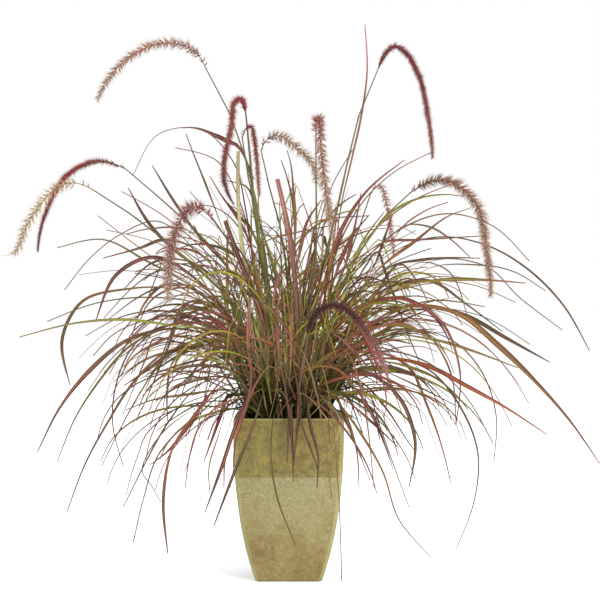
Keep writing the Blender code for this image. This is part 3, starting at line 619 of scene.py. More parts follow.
# The leaves that are set one by one: colour, half width, and points from root to tip
SET_LEAVES = [
    ("burgundy", 5.4, [(-68, -40, 858), (-105, -45, 946), (-138, -50, 967), (-164, -52, 979),
        (-189, -54, 990), (-213, -56, 995), (-234, -57, 994)]),
    ("umber", 2.4, [(-122, -20, 700), (-148, -25, 776), (-186, -32, 877), (-214, -38, 947),
        (-227, -40, 983)]),
    ("smoke", 2.2, [(-170, -30, 722), (-230, -37, 773), (-306, -45, 773), (-358, -50, 761)]),
    ("smoke", 3.7, [(-156, -50, 686), (-216, -70, 734), (-274, -85, 747), (-322, -99, 729),
        (-400, -120, 706)]),
    ("bronze", 2.7, [(-133, -60, 638), (-193, -83, 690), (-253, -102, 705), (-303, -118, 691),
        (-354, -140, 637)]),
    ("smoke", 1.8, [(-154, -80, 605), (-224, -109, 677), (-281, -125, 678), (-334, -145, 642),
        (-391, -170, 578)]),
    ("dusk", 2.7, [(-132, -90, 562), (-191, -122, 633), (-249, -143, 650), (-315, -168, 624),
        (-385, -200, 570)]),
    ("rose", 3.2, [(-154, -90, 583), (-208, -117, 629), (-262, -139, 650), (-305, -162, 610),
        (-327, -188, 549), (-332, -200, 517)]),
    ("plum", 2.9, [(-144, -100, 590), (-191, -120, 616), (-224, -133, 603), (-244, -150, 563),
        (-255, -170, 510)]),
    ("smoke", 2.0, [(-164, -20, 549), (-219, -29, 581), (-274, -37, 576), (-306, -44, 537),
        (-328, -50, 502)]),
    ("bronze", 2.9, [(-106, -80, 529), (-181, -101, 549), (-255, -121, 536), (-328, -144, 498),
        (-360, -160, 450)]),
    ("dusk", 5.1, [(-114, -100, 495), (-169, -129, 534), (-231, -158, 516), (-291, -191, 473),
        (-343, -220, 437)]),
    ("smoke", 3.9, [(-118, -20, 478), (-179, -32, 516), (-240, -43, 495), (-294, -54, 462),
        (-326, -60, 443)]),
    ("dusk", 3.2, [(-115, 20, 445), (-178, 30, 481), (-247, 39, 469), (-325, 50, 441)]),
    ("green", 3.4, [(-105, -120, 448), (-142, -140, 479), (-188, -161, 497), (-233, -180, 500)]),
    ("pale", 2.4, [(-118, -110, 456), (-152, -126, 493), (-185, -140, 526), (-210, -150, 543)]),
    ("pale", 2.2, [(-114, -110, 443), (-143, -130, 485), (-180, -146, 503), (-214, -160, 510)]),
    ("olive", 2.9, [(-111, 30, 409), (-179, 48, 437), (-249, 64, 420), (-307, 80, 383)]),
    ("umber", 3.4, [(-88, -100, 404), (-143, -122, 422), (-210, -147, 415), (-282, -175, 406),
        (-341, -200, 385)]),
    ("crimson", 5.9, [(-96, -110, 465), (-135, -123, 450), (-174, -141, 406), (-213, -163, 350),
        (-250, -183, 301), (-290, -200, 270)]),
    ("bronze", 2.7, [(-185, -50, 517), (-236, -34, 505), (-264, -19, 465), (-273, 3, 392),
        (-272, 20, 337)]),
    ("rose", 3.2, [(-83, -120, 409), (-121, -139, 402), (-158, -159, 384), (-189, -180, 354)]),
    ("smoke", 2.0, [(-102, -80, 402), (-160, -100, 404), (-223, -125, 377), (-280, -150, 339)]),
    ("smoke", 1.8, [(-92, -100, 388), (-148, -112, 396), (-212, -127, 358), (-278, -149, 285),
        (-308, -170, 192), (-327, -190, 104)]),
    ("olive", 1.6, [(-116, -60, 392), (-183, -71, 389), (-269, -89, 333), (-317, -105, 255),
        (-297, -113, 217), (-275, -120, 181)]),
    ("rose", 2.2, [(-82, -140, 391), (-141, -159, 386), (-187, -178, 350), (-207, -198, 290),
        (-215, -220, 224)]),
    ("olive", 1.7, [(-78, -150, 386), (-128, -164, 378), (-151, -180, 320), (-167, -197, 263),
        (-164, -210, 214)]),
    ("olive", 2.7, [(-60, -30, 780), (-86, -30, 857), (-108, -30, 873), (-137, -30, 880)]),
    ("crimson", 3.4, [(-60, -20, 638), (-79, -32, 722), (-108, -43, 788), (-149, -53, 847),
        (-173, -60, 888)]),
    ("olive", 3.9, [(-51, 0, 672), (-81, 10, 766), (-115, 15, 807), (-151, 20, 848)]),
    ("umber", 4.4, [(5, -40, 649), (14, -48, 770), (9, -55, 869), (5, -58, 912), (-4, -60, 945)]),
    ("dusk", 2.7, [(16, -30, 700), (9, -36, 826), (-4, -38, 886), (-17, -40, 925)]),
    ("rose", 4.9, [(9, -60, 638), (25, -64, 726), (40, -67, 787), (71, -70, 835)]),
    ("bronze", 2.2, [(-79, -100, 685), (-55, -106, 739), (14, -113, 761), (85, -120, 775)]),
    ("bronze", 2.0, [(25, -80, 699), (42, -84, 775), (101, -87, 794), (172, -90, 799)]),
    ("plum", 5.1, [(86, -80, 627), (112, -84, 699), (138, -87, 755), (175, -90, 801)]),
    ("rose", 3.9, [(104, -50, 627), (126, -50, 700), (146, -50, 781), (159, -50, 852)]),
    ("burgundy", 3.4, [(162, -20, 638), (193, -20, 700), (216, -20, 765), (231, -20, 807)]),
    ("straw", 2.7, [(60, -50, 616), (73, -55, 715), (77, -58, 781), (95, -60, 824)]),
    ("green", 3.2, [(91, -20, 616), (140, -20, 700), (171, -20, 758), (211, -20, 811)]),
    ("green", 2.9, [(139, -50, 693), (211, -70, 795), (273, -82, 834), (333, -93, 845),
        (378, -100, 841)]),
    ("rose", 1.7, [(184, -30, 671), (246, -35, 771), (301, -38, 813), (351, -40, 832)]),
    ("bronze", 3.9, [(112, -60, 590), (199, -74, 686), (275, -85, 744), (339, -94, 794),
        (393, -100, 815)]),
    ("burgundy", 2.9, [(116, -80, 671), (198, -93, 738), (274, -102, 746), (349, -112, 750),
        (417, -120, 754)]),
    ("smoke", 2.3, [(181, -100, 698), (240, -114, 771), (298, -123, 775), (347, -131, 747),
        (388, -140, 708)]),
    ("dusk", 3.4, [(149, -30, 616), (219, -37, 687), (289, -41, 704), (355, -46, 709),
        (421, -50, 708)]),
    ("olive", 4.1, [(155, -80, 583), (231, -95, 642), (306, -107, 657), (374, -118, 661),
        (454, -131, 657), (508, -140, 652)]),
    ("smoke", 1.7, [(202, 50, 639), (286, 53, 698), (343, 55, 693), (379, 57, 659),
        (407, 60, 575)]),
    ("smoke", 1.8, [(220, 100, 616), (325, 116, 690), (443, 130, 697), (525, 140, 681),
        (599, 150, 637)]),
    ("smoke", 1.5, [(210, 120, 604), (328, 144, 705), (459, 164, 696), (543, 181, 621),
        (646, 200, 545)]),
    ("olive", 3.4, [(135, -50, 502), (200, -60, 541), (309, -74, 531), (395, -86, 507),
        (497, -100, 469)]),
    ("umber", 3.9, [(140, -20, 516), (213, -28, 550), (263, -34, 576), (312, -40, 596)]),
    ("plum", 2.3, [(179, -50, 550), (266, -63, 568), (320, -73, 522), (356, -85, 446),
        (363, -100, 345)]),
    ("olive", 3.4, [(122, -120, 461), (207, -132, 483), (302, -145, 456), (355, -154, 416),
        (382, -160, 382)]),
    ("dusk", 2.2, [(137, -100, 473), (208, -112, 461), (293, -128, 423), (356, -140, 391)]),
    ("crimson", 4.1, [(63, -130, 577), (82, -145, 663), (110, -153, 618), (152, -166, 557),
        (185, -179, 485), (206, -192, 414), (201, -200, 368)]),
    ("burgundy", 3.9, [(89, -140, 483), (135, -155, 437), (173, -170, 383), (202, -187, 314),
        (220, -200, 261)]),
    ("burgundy", 2.9, [(100, -100, 469), (158, -113, 439), (209, -128, 384), (249, -143, 323),
        (268, -150, 296)]),
    ("bronze", 3.4, [(63, -130, 427), (121, -147, 402), (177, -168, 357), (233, -190, 304)]),
    ("plum", 3.2, [(155, 20, 560), (238, 20, 692), (283, 20, 665), (312, 20, 612)]),
    ("dusty", 2.9, [(-48, -140, 530), (-65, -146, 605), (-80, -147, 618), (-82, -151, 563),
        (-73, -156, 505), (-60, -160, 450)]),
    ("mauve", 4.1, [(-44, -140, 541), (-67, -151, 614), (-84, -154, 610), (-86, -165, 531),
        (-79, -177, 447), (-95, -190, 363)]),
    ("rose", 4.4, [(-10, -150, 450), (-39, -158, 476), (-69, -167, 438), (-94, -180, 379),
        (-112, -194, 311), (-116, -205, 255)]),
    ("umber", 3.7, [(-56, -150, 428), (-82, -158, 407), (-115, -176, 341), (-133, -191, 279),
        (-135, -205, 222)]),
    ("mauve", 4.4, [(-5, -140, 552), (-14, -148, 650), (-24, -155, 573), (-20, -161, 499),
        (-3, -169, 408), (3, -175, 337)]),
    ("mauve", 3.2, [(-87, -140, 616), (-57, -144, 612), (-18, -151, 573), (22, -160, 510)]),
    ("crimson", 3.7, [(42, -130, 519), (20, -135, 539), (10, -143, 492), (22, -157, 414),
        (18, -170, 340), (10, -185, 257)]),
    ("mauve", 4.4, [(59, -120, 519), (48, -128, 560), (35, -139, 505), (25, -150, 445),
        (22, -160, 395)]),
    ("burgundy", 2.4, [(22, -155, 407), (29, -166, 351), (48, -177, 299), (63, -185, 257)]),
    ("bronze", 3.2, [(3, -150, 484), (-35, -156, 507), (-86, -162, 508), (-145, -170, 480)]),
    ("olive", 3.9, [(33, -120, 418), (57, -123, 474), (111, -127, 511), (166, -130, 528)]),
    ("mauve", 3.7, [(50, -130, 541), (93, -135, 545), (136, -142, 511), (182, -150, 458)]),
    ("straw", 1.7, [(25, -170, 421), (54, -176, 400), (105, -190, 334)]),
    ("straw", 1.7, [(80, -180, 405), (109, -185, 363), (96, -191, 309), (69, -195, 275)]),
    ("umber", 3.7, [(37, -140, 428), (72, -149, 409), (112, -165, 355)]),
]
# Two leaves and a culm that were cut off square, by where they end
CUT_ENDS = ((-110, 940), (-25, 880), (-135, 785))
SAME_TIP = 9.0                   # a tip this near a named one is that leaf's
KNOT_PARTS = 4                   # of a set leaf's line, between each two of its points
OTHER_LEAF_WIDTH = (1.2, 2.4)    # half width of the long leaves that aren't named above


def merged_copy(node):
    """A CAD node's shape with its loose triangles joined up."""
    bm = bmesh.new()
    bm.from_mesh(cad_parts[node].data)
    bmesh.ops.remove_doubles(bm, verts=bm.verts, dist=1e-5)
    return bm


def ring_levels(start, size):
    """Rings of a bar's corners, from the given ones on, while each ring has that size."""
    levels = [start]
    passed = set(start)
    while True:
        ahead = {edge.other_vert(vert) for vert in levels[-1] for edge in vert.link_edges}
        ahead -= passed
        if len(ahead) != size:
            return levels
        levels.append(sorted(ahead, key=lambda vert: vert.index))
        passed |= ahead


def blade_lines(node):
    """The middle line of each blade of a shoot, from its root to its tip."""
    bm = merged_copy(node)
    lines = []
    for tip in bm.verts:
        stands = tip.co.z < SOIL_CROWN + ON_SOIL and tip.co.xy.length < FOOT_REACH
        levels = ring_levels([tip], 3)
        if len(tip.link_edges) != 3 or stands or len(levels) < FEWEST_BLADE_RINGS:
            continue
        line = [tip.co.copy()]
        for ring in levels[1:-1]:
            pairs = [(ring[0], ring[1]), (ring[1], ring[2]), (ring[2], ring[0])]
            widest = max(pairs, key=lambda pair: (pair[0].co - pair[1].co).length)
            line.append((widest[0].co + widest[1].co) / 2.0)
        lines.append(list(reversed(line)))
    bm.free()
    return lines


def stored(tree, geometry, name, value, data_type="FLOAT"):
    return step(tree, "StoreNamedAttribute", {0: geometry, "Name": name, "Value": value},
                data_type=data_type, domain="POINT")


def recalled(tree, name, data_type="FLOAT"):
    return step(tree, "InputNamedAttribute", {0: name}, data_type=data_type)


def guide_curve(tree, guide):
    """A smooth curve through the points of a guide."""
    return step(tree, "CurveSplineType", {0: step(tree, "MeshToCurve", {0: guide})},
                spline_type="CATMULL_ROM")


def marked_along(tree, line):
    """A curve that keeps how far along it each of its points lies."""
    return stored(tree, line, "along", step(tree, "SplineParameter"))


def swept(tree, line, section, scale):
    return step(tree, "CurveToMesh", {0: line, 1: section, "Scale": scale, "Fill Caps": True})


def vector_of(tree, x=0.0, y=0.0, z=0.0):
    return add_node(tree, "ShaderNodeCombineXYZ", {0: x, 1: y, 2: z}).outputs[0]


def make_leaf_tree():
    """Sweeps a channelled blade along each guide line, as wide as the guide says."""
    tree, given = new_tree("leaf_sweep", Float=["Segment", "Fold", "Thickness"])
    line = step(tree, "ResampleCurve", {0: guide_curve(tree, given["Geometry"]),
                                        "Length": given["Segment"]}, mode="LENGTH")
    line = step(tree, "SetCurveNormal", {
        0: line, "Normal": recalled(tree, "side", "FLOAT_VECTOR")}, mode="FREE")
    line = marked_along(tree, line)
    lower = calculated(tree, "ADD", given["Fold"], given["Thickness"])
    section = step(tree, "CurvePrimitiveQuadrilateral", {
        "Point 1": (-1.0, 0.0, 0.0), "Point 2": vector_of(tree, y=product(tree, lower, -1.0)),
        "Point 3": (1.0, 0.0, 0.0),
        "Point 4": vector_of(tree, y=product(tree, given["Fold"], -1.0))}, mode="POINTS")
    across = axis_part(tree, step(tree, "InputPosition"), "X")
    section = stored(tree, section, "across", across)
    blade = swept(tree, line, section, recalled(tree, "half_width"))
    return close_tree(tree, blade, given["Material"])


def blade_width(share, half_width, widest, end, root, rise, taper):
    """Half width along a blade, which tapers from its widest to its end."""
    if share < widest:
        grown = math.sin(share / widest * math.pi / 2.0) ** rise
        return half_width * lerp(root, 1.0, grown)
    taper = ((share - widest) / (1.0 - widest)) ** taper
    return lerp(half_width, end, taper)


def heading_vector(lean, course):
    """A direction from its lean from upright and its compass course."""
    return Vector((math.sin(lean) * math.cos(course), math.sin(lean) * math.sin(course),
                   math.cos(lean)))


def bent_path(root, course, leans, length, bend, sway, kink=LEAF_GUIDE_STEPS):
    """A blade's line: its lean from upright grows from the first angle to the second, and
    past a kink it hangs."""
    points = [root]
    for step in range(1, LEAF_GUIDE_STEPS + 1):
        share = (step - 0.5) / LEAF_GUIDE_STEPS
        lean = lerp(leans[0], leans[1], share ** bend)
        if step > kink:
            lean = max(lean, KINKED_LEAN)
        ahead = heading_vector(lean, course + sway * share ** 2)
        points.append(points[-1] + ahead * length / LEAF_GUIDE_STEPS)
    return points


def clears_pot(points):
    """Whether a line stays out of the pot's wall."""
    for point in points:
        if point.z > pot_height + POT_CLEARANCE:
            continue
        half = pot_half_width(max(0.0, point.z)) + POT_CLEARANCE
        if point.z < POT_CLEARANCE or max(abs(point.x), abs(point.y)) < half:
            return False
    return True


def leaf_shades(draw, kind=None):
    """The three colours of one leaf, a little lighter or darker than its kind."""
    kinds = list(LEAF_COLOURS)
    light = draw.uniform(*(SHOWN_LEAF_LIGHT if kind else LEAF_LIGHT))
    kind = kind or draw.choices(kinds, weights=[LEAF_COLOURS[k][1] for k in kinds])[0]
    shades = []
    for colour in LEAF_COLOURS[kind][0]:
        tint = seen(*colour)[:3]
        grey = sum(tint) / 3.0
        shades.append(Vector([max(0.0, lerp(grey, part, LEAF_PURITY)) for part in tint]) * light)
    return shades


def shade_along(shades, share):
    """A leaf's colour: that of its sheath, and then from its root to its tip."""
    if share < 0.0:
        return shades[0].lerp(Vector(seen(*SHEATH_COLOUR)[:3]), SHEATH_SHARE)
    if share < LEAF_MIDDLE:
        return shades[0].lerp(shades[1], share / LEAF_MIDDLE)
    return shades[1].lerp(shades[2], min(1.0, (share - LEAF_MIDDLE) / LEAF_TURN))


def add_layer(mesh, name, values, kind="FLOAT"):
    """A value, colour or vector kept at each point of a guide."""
    field = {"FLOAT": "value", "FLOAT_COLOR": "color", "FLOAT_VECTOR": "vector"}[kind]
    for item, value in zip(mesh.attributes.new(name, kind, "POINT").data, values):
        setattr(item, field, value)


class LeafGuides:
    """The guide lines of one shoot's leaves, gathered in one mesh of edges."""

    def __init__(self):
        self.points, self.edges = [], []
        self.sides, self.half_widths, self.tints, self.chances = [], [], [], []

    def add(self, sheath, blade, widths, shades, roll, draw, sides=()):
        """A leaf whose sheath runs up the culm to the root of its blade. The sides, if they
        are given, run across the blade; otherwise it lies level."""
        points = sheath + blade
        lengths = [0.0]
        for a, b in zip(points, points[1:]):
            lengths.append(lengths[-1] + (b - a).length)
        collar = lengths[len(sheath)]
        first = len(self.points)
        chance, twist = draw.random(), draw.uniform(-LEAF_TWIST, LEAF_TWIST)
        across = (blade[-1] - blade[0]).cross(Vector((0.0, 0.0, -1.0))).normalized()
        for i, point in enumerate(points):
            share = (lengths[i] - collar) / (lengths[-1] - collar)
            ahead = points[min(i + 1, len(points) - 1)] - points[max(i - 1, 0)]
            side = sides[max(0, i - len(sheath))] if sides else across
            level = (side - ahead * side.dot(ahead) / ahead.length_squared).normalized()
            turn = roll + twist * (max(share, 0.0) - widths[1])
            self.points.append(point)
            self.sides.append(Matrix.Rotation(turn, 3, ahead.normalized()) @ level)
            self.half_widths.append(SHEATH_HALF_WIDTH if share < 0.0
                                    else blade_width(share, *widths))
            self.tints.append((*shade_along(shades, share), 1.0))
            self.chances.append(chance)
        self.edges += [(first + i, first + i + 1) for i in range(len(points) - 1)]

    def mesh(self):
        mesh = bpy.data.meshes.new("leaf_guides")
        mesh.from_pydata(self.points, self.edges, [])
        add_layer(mesh, "side", self.sides, "FLOAT_VECTOR")
        add_layer(mesh, "half_width", self.half_widths)
        add_layer(mesh, "tint", self.tints, "FLOAT_COLOR")
        add_layer(mesh, "chance", self.chances)
        return mesh


def make_leaf_skin():
    material, tree, shader = new_material("grass_leaf", Specular_IOR_Level=0.12)
    place = object_place(tree)
    across, along, chance = (attribute(tree, name) for name in ("across", "along", "chance"))
    off_midrib = calculated(tree, "ABSOLUTE", across)
    spread = vector_of(tree, product(tree, across, 4.5), product(tree, along, 3.0),
                       product(tree, chance, 97.0))

    veins = speckle(tree, spread, 1.6, 2.0)
    blush = speckle(tree, place, 11.0, 3.0)
    margin = product(tree, ranged(tree, off_midrib, 0.62, 0.90),
                     ranged(tree, chance, 0.2, 0.8, 0.0, 0.52))
    spots = speckle(tree, place, 240.0, 2.0, 0.6)
    # Painted shade: leaves darker low in the clump's heart, where they shade one another; some leaves
    # take less of it.
    painted_depth_shade = product(tree, ranged(tree, axis_part(tree, place, "Z"), 0.42, 0.57, 1.0, 0.0),
                   ranged(tree, distance_from(tree, place, CLUMP_HEART), 0.11, 0.22, 1.0, 0.0),
                   ranged(tree, chance, 0.4, 0.7, 1.0, 0.55))
    colour = attribute(tree, "tint", "Color")
    for share, tint in (
            (ranged(tree, veins, 0.42, 0.60, 0.0, 0.55), (56, 46, 28)),
            (ranged(tree, veins, 0.40, 0.28, 0.0, 0.30), (196, 190, 140)),
            (ranged(tree, blush, 0.48, 0.66, 0.0, 0.27), (142, 66, 56)),
            (margin, (130, 54, 54)),
            (ranged(tree, off_midrib, 0.04, 0.14, 0.25, 0.0), (204, 196, 148)),
            (ranged(tree, spots, 0.62, 0.70, 0.0, 0.5), (70, 40, 46)),
            (painted_depth_shade, (38, 36, 16))):
        colour = mixed(tree, share, colour, seen(*tint))
    finish(tree, shader, colour, ranged(tree, veins, 0.3, 0.7, 0.45, 0.62), veins, 0.25, 0.0006)
    return material


leaf_tree = make_leaf_tree()
leaf_skin = make_leaf_skin()
leaf_draw = random.Random(LEAF_SEED)


def shoot_foot(node):
    """Where a shoot stands on the soil: the middle of its sheath's lowest corners."""
    bm = merged_copy(node)
    foot = [vert.co.copy() for vert in bm.verts
            if abs(vert.co.z - SOIL_CROWN) < ON_SOIL and vert.co.xy.length < FOOT_REACH]
    bm.free()
    return sum(foot, Vector()) / len(foot)


def within_clump(points):
    """Whether a line keeps to the domed space that the clump's leaves fill."""
    out, up, middle = CLUMP_DOME
    return all((p.xy.length / out) ** 2 + ((p.z - middle) / up) ** 2 < 1.0 and p.z > LOWEST_TIP
               for p in points)


LOW_SPIKE_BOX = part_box("flower_spike_10")


def hides_low_spike(points):
    """Whether a line hangs in front of the spike that nods low over the planter's face."""
    low, high = LOW_SPIKE_BOX
    return any(low.x < p.x < high.x and low.z < p.z < high.z and p.y < high.y for p in points)


def veils_heart(points):
    """Whether a line hangs before the upright culms in the clump's middle or the planter."""
    return any(abs(p.x) < VEIL_HALF_WIDTH
               and (p.y < PLANTER_VEIL[0] and p.z < PLANTER_VEIL[1]
                    or p.y < HEART_VEIL[0] and p.z > HEART_VEIL[1]) for p in points)


def reaches_thin_place(points):
    """Whether a line runs where the photographed clump has few leaves."""
    return any(left < p.x < right and low < p.z < high
               for p in points for left, right, low, high in THIN_PLACES)


def random_roll(draw):
    """How far a blade that grows anywhere is rolled about its own line from level."""
    return draw.choice((-1.0, 1.0)) * draw.uniform(*LEAF_ROLL)


def add_culm_leaf(guides, stalk, joint, towards, draw):
    """A leaf that opens from its culm at a joint and bends over under its own weight."""
    rise = joint / LEAF_GUIDE_STEPS
    stem = (stalk[joint] - stalk[joint - 1]).normalized()
    side = heading_vector(math.pi / 2.0, towards)
    side = (side - stem * side.dot(stem)).normalized()
    opening = lerp(*LEAF_OPENING, rise) * draw.uniform(*LEAF_OPENING_SPREAD)
    ahead = stem * math.cos(opening) + side * math.sin(opening)
    lean = math.acos(ahead.z)
    upright, level = LEAF_DROOP_SHARE
    droop = draw.triangular(*LEAF_DROOP) * (upright + level * math.sin(lean))
    kink = draw.randint(*KINK_STEPS) if draw.random() < KINKED_LEAVES else LEAF_GUIDE_STEPS
    length = draw.uniform(*LEAF_LENGTH) * lerp(*LEAF_LENGTH_SHARE, rise)
    blade = bent_path(stalk[joint], math.atan2(ahead.y, ahead.x),
                      (lean, min(MOST_LEAN, lean + droop)), length,
                      draw.uniform(*LEAF_BEND), draw.uniform(-LEAF_SWAY, LEAF_SWAY), kink)
    if not clears_pot(blade) or not within_clump(blade) or hides_low_spike(blade):
        return False
    if veils_heart(blade) and draw.random() > VEILING_LEAVES:
        return False
    if reaches_thin_place(blade) and draw.random() > THIN_LEAVES:
        return False
    sheath = stalk[:joint] if joint == LEAF_GUIDE_STEPS else stalk[max(0, joint - 2):joint]
    widths = (lerp(*LEAF_HALF_WIDTH, draw.random() ** NARROW_LEAVES), draw.uniform(*LEAF_WIDEST),
              *LEAF_SHAPE)
    guides.add(sheath, blade, widths, leaf_shades(draw), random_roll(draw), draw)
    return True


def add_culm(guides, foot, draw):
    """A leafy culm of the shoot: its leaves stand in two ranks, one above the other."""
    outward = foot.xy.length / CLUMP_REACH
    stray, less = CULM_STRAY
    course = math.atan2(foot.y, foot.x) + draw.gauss(0.0, stray - less * outward)
    lean = CULM_LEAN * outward + draw.uniform(*CULM_LEAN_SPREAD)
    spot = foot + heading_vector(math.pi / 2.0, draw.uniform(0.0, math.tau)) * CULM_SPACE
    front = min(1.0, max(0.0, -foot.y / CLUMP_REACH))
    height = draw.uniform(*CULM_HEIGHT) * lerp(1.0, FRONT_CULM_HEIGHT, front)
    leans = [share * lean for share in CULM_LEAN_SHARE]
    stalk = bent_path(spot, course, leans, height, 1.0, 0.0)
    plane = draw.uniform(0.0, math.tau)
    stray, more = RANK_STRAY
    for joint in range(1, len(stalk)):
        if joint < LEAF_GUIDE_STEPS and draw.random() > JOINTS_WITH_LEAF:
            continue
        for attempt in range(LEAF_TRIES):
            towards = plane + math.pi * (joint % 2) + draw.gauss(0.0, stray + more * attempt)
            inward = math.cos(towards - course) < 0.0
            if inward and draw.random() < INWARD_LEAVES_TURNED * outward:
                towards += math.pi
            if add_culm_leaf(guides, stalk, joint, towards, draw):
                break


def add_young_leaf(guides, foot, draw):
    """A short leaf low in the clump."""
    course = draw.uniform(0.0, math.tau)
    spot = foot + heading_vector(math.pi / 2.0, course) * draw.uniform(*YOUNG_LEAF_SPREAD)
    lean = draw.uniform(0.0, YOUNG_LEAF_LEAN)
    blade = bent_path(spot, course + draw.uniform(-YOUNG_LEAF_STRAY, YOUNG_LEAF_STRAY),
                      (lean, lean + draw.uniform(*YOUNG_LEAF_DROOP)),
                      draw.uniform(*YOUNG_LEAF_LENGTH), YOUNG_LEAF_BEND,
                      draw.uniform(-YOUNG_LEAF_SWAY, YOUNG_LEAF_SWAY))
    if clears_pot(blade) and blade[-1].z > SOIL_CROWN + YOUNG_LEAF_RISE:
        widths = (draw.uniform(*YOUNG_LEAF_WIDTH), YOUNG_LEAF_WIDEST, *LEAF_SHAPE)
        guides.add([], blade, widths, leaf_shades(draw), random_roll(draw), draw)


def shown_sides(line):
    """The directions across a blade that turn its face to the front."""
    sides = []
    for i in range(len(line)):
        ahead = (line[min(i + 1, len(line) - 1)] - line[max(i - 1, 0)]).normalized()
        side = ahead.cross(Vector((0.0, 1.0, 0.0)))
        if sides:
            side = side * math.copysign(1.0, side.dot(sides[-1])) + 0.5 * sides[-1]
        sides.append((side - ahead * side.dot(ahead)).normalized())
    return sides


def add_long_leaf(guides, foot, line, kind, half_width, widest, draw, is_cut=False):
    """A leaf along a line of its own, its sheath down to the soil."""
    half_width /= 1000.0
    shape = (half_width * CUT_LEAF_END, *CUT_LEAF_SHAPE) if is_cut else LONG_LEAF_SHAPE
    roll = draw.uniform(-SHOWN_LEAF_ROLL, SHOWN_LEAF_ROLL) if kind else random_roll(draw)
    guides.add([foot, foot.lerp(line[0], 0.5)], line, (half_width, widest, *shape),
               leaf_shades(draw, kind), roll, draw, shown_sides(line) if kind else ())


def smooth_line(knots):
    """A smooth line through the knots, with points between each two of them."""
    ends = [2.0 * knots[0] - knots[1], *knots, 2.0 * knots[-1] - knots[-2]]
    line = []
    for a, b, c, d in zip(ends, ends[1:], ends[2:], ends[3:]):
        for t in (part / KNOT_PARTS for part in range(KNOT_PARTS)):
            line.append(b + (c - a) * t / 2.0 + (a - 2.5 * b + 2.0 * c - d / 2.0) * t ** 2
                        + (1.5 * b - 1.5 * c + (d - a) / 2.0) * t ** 3)
    return line + [knots[-1]]


def nodes_named(start):
    return sorted(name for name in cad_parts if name.startswith(start))


feet = {shoot: shoot_foot(shoot) for shoot in nodes_named("leaf_tuft_")}
set_leaves = [(kind, half_width, smooth_line([Vector(point) / 1000.0 for point in points]))
              for kind, half_width, points in SET_LEAVES]
for shoot, foot in feet.items():
    guides = LeafGuides()
    for line in blade_lines(shoot):
        tip = line[-1] * 1000.0
        across, up, kind, half_width, widest = min(
            LONG_LEAVES, key=lambda leaf: math.hypot(tip.x - leaf[0], tip.z - leaf[1]))
        if math.hypot(tip.x - across, tip.z - up) > SAME_TIP:
            kind, half_width = None, leaf_draw.uniform(*OTHER_LEAF_WIDTH)
            widest = leaf_draw.uniform(*LONG_LEAF_WIDEST)
        is_cut = kind is not None and (across, up) in CUT_ENDS
        add_long_leaf(guides, foot, line, kind, half_width, widest, leaf_draw, is_cut)
    for kind, half_width, line in set_leaves:
        if foot == min(feet.values(), key=lambda spot: (spot - line[0]).length):
            add_long_leaf(guides, foot, line, kind, half_width,
                          leaf_draw.uniform(*LONG_LEAF_WIDEST), leaf_draw)
    for _ in range(CULMS):
        add_culm(guides, foot, leaf_draw)
    for _ in range(YOUNG_LEAVES):
        add_young_leaf(guides, foot, leaf_draw)
    leaves = plain_object(shoot.replace("tuft", "shoot"), grown_mesh(guides.mesh(), leaf_tree, {
        "Segment": LEAF_SEGMENT, "Fold": LEAF_FOLD, "Thickness": LEAF_THICKNESS,
        "Material": leaf_skin}))
    leaves.data.set_sharp_from_angle(angle=LEAF_CREASE)
    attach(leaves, "root")
    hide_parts(shoot)


# ---------------------------------------------------------------------------------------------
# The flowering stems: slim round culms with a joint every fifteen centimetres, wrapped in leaf
# sheaths low down and bare below the spike. They grow from the crown, green where they are
# sheathed, duller towards the neck, and streaked with brown.
# ---------------------------------------------------------------------------------------------

STEM_SIDES = 8
STEM_BAR_SIDES = 5               # of the solid that a stem is fitted over
STEM_SEGMENT = 0.015
STEM_RADII = (0.0034, 0.0013)    # at the soil and at the neck
STOUT_STEM = "flower_stem_04"
STOUT_STEM_RADII = (0.0078, 0.0017)
STEM_JOINT_SPACING = 0.15
STEM_JOINT_SWELL = 1.35
STEM_JOINT_EDGE, STEM_JOINT_END = 0.001, 0.003   # from its middle: swollen to, and gone by
STEM_SHEATH_SHARE = 0.72         # how much of each length between joints its sheath covers
STEM_SHEATH_SWELL = 1.22
STEM_SHEATHS_END = 0.75          # the culm is bare past this share of its length


def bar_line(node, sides, start_near):
    """The middle line of a round bar, from the end nearest to a point."""
    bm = merged_copy(node)
    ends = sorted(bm.verts, key=lambda vert: (vert.co - start_near).length)[:sides]
    line = [sum((v.co for v in ring), Vector()) / sides for ring in ring_levels(ends, sides)]
    bm.free()
    return line


def circle(tree, sides, radius=1.0):
    return step(tree, "CurvePrimitiveCircle", {"Resolution": sides, "Radius": radius})


def make_stem_tree():
    """A round tube along the guide line, as thick as the guide says."""
    tree, given = new_tree("stem_sweep", Int=["Sides"])
    line = marked_along(tree, step(tree, "MeshToCurve", {0: given["Geometry"]}))
    bar = swept(tree, line, circle(tree, given["Sides"]), recalled(tree, "half_width"))
    return close_tree(tree, bar, given["Material"])


def make_stem_skin():
    material, tree, shader = new_material("culm", Specular_IOR_Level=0.15)
    along, joint, sheathed = (attribute(tree, name) for name in ("along", "joint", "sheathed"))
    streaks = speckle(tree, scaled(tree, object_place(tree), (420.0, 420.0, 30.0)), 1.0, 2.0)
    colour = mixed(tree, ranged(tree, along, 0.35, 0.95), seen(80, 86, 40), seen(78, 78, 54))
    for share, tint in ((ranged(tree, sheathed, 0.0, 1.0, 0.0, 0.5), (92, 100, 48)),
                        (ranged(tree, streaks, 0.4, 0.7, 0.0, 0.55), (88, 60, 42)),
                        (product(tree, joint, 0.6), (122, 134, 64))):
        colour = mixed(tree, share, colour, seen(*tint))
    finish(tree, shader, colour, ranged(tree, streaks, 0.3, 0.7, 0.42, 0.6), streaks, 0.2, 0.0005)
    return material


def line_length(line):
    return sum((b - a).length for a, b in zip(line, line[1:]))


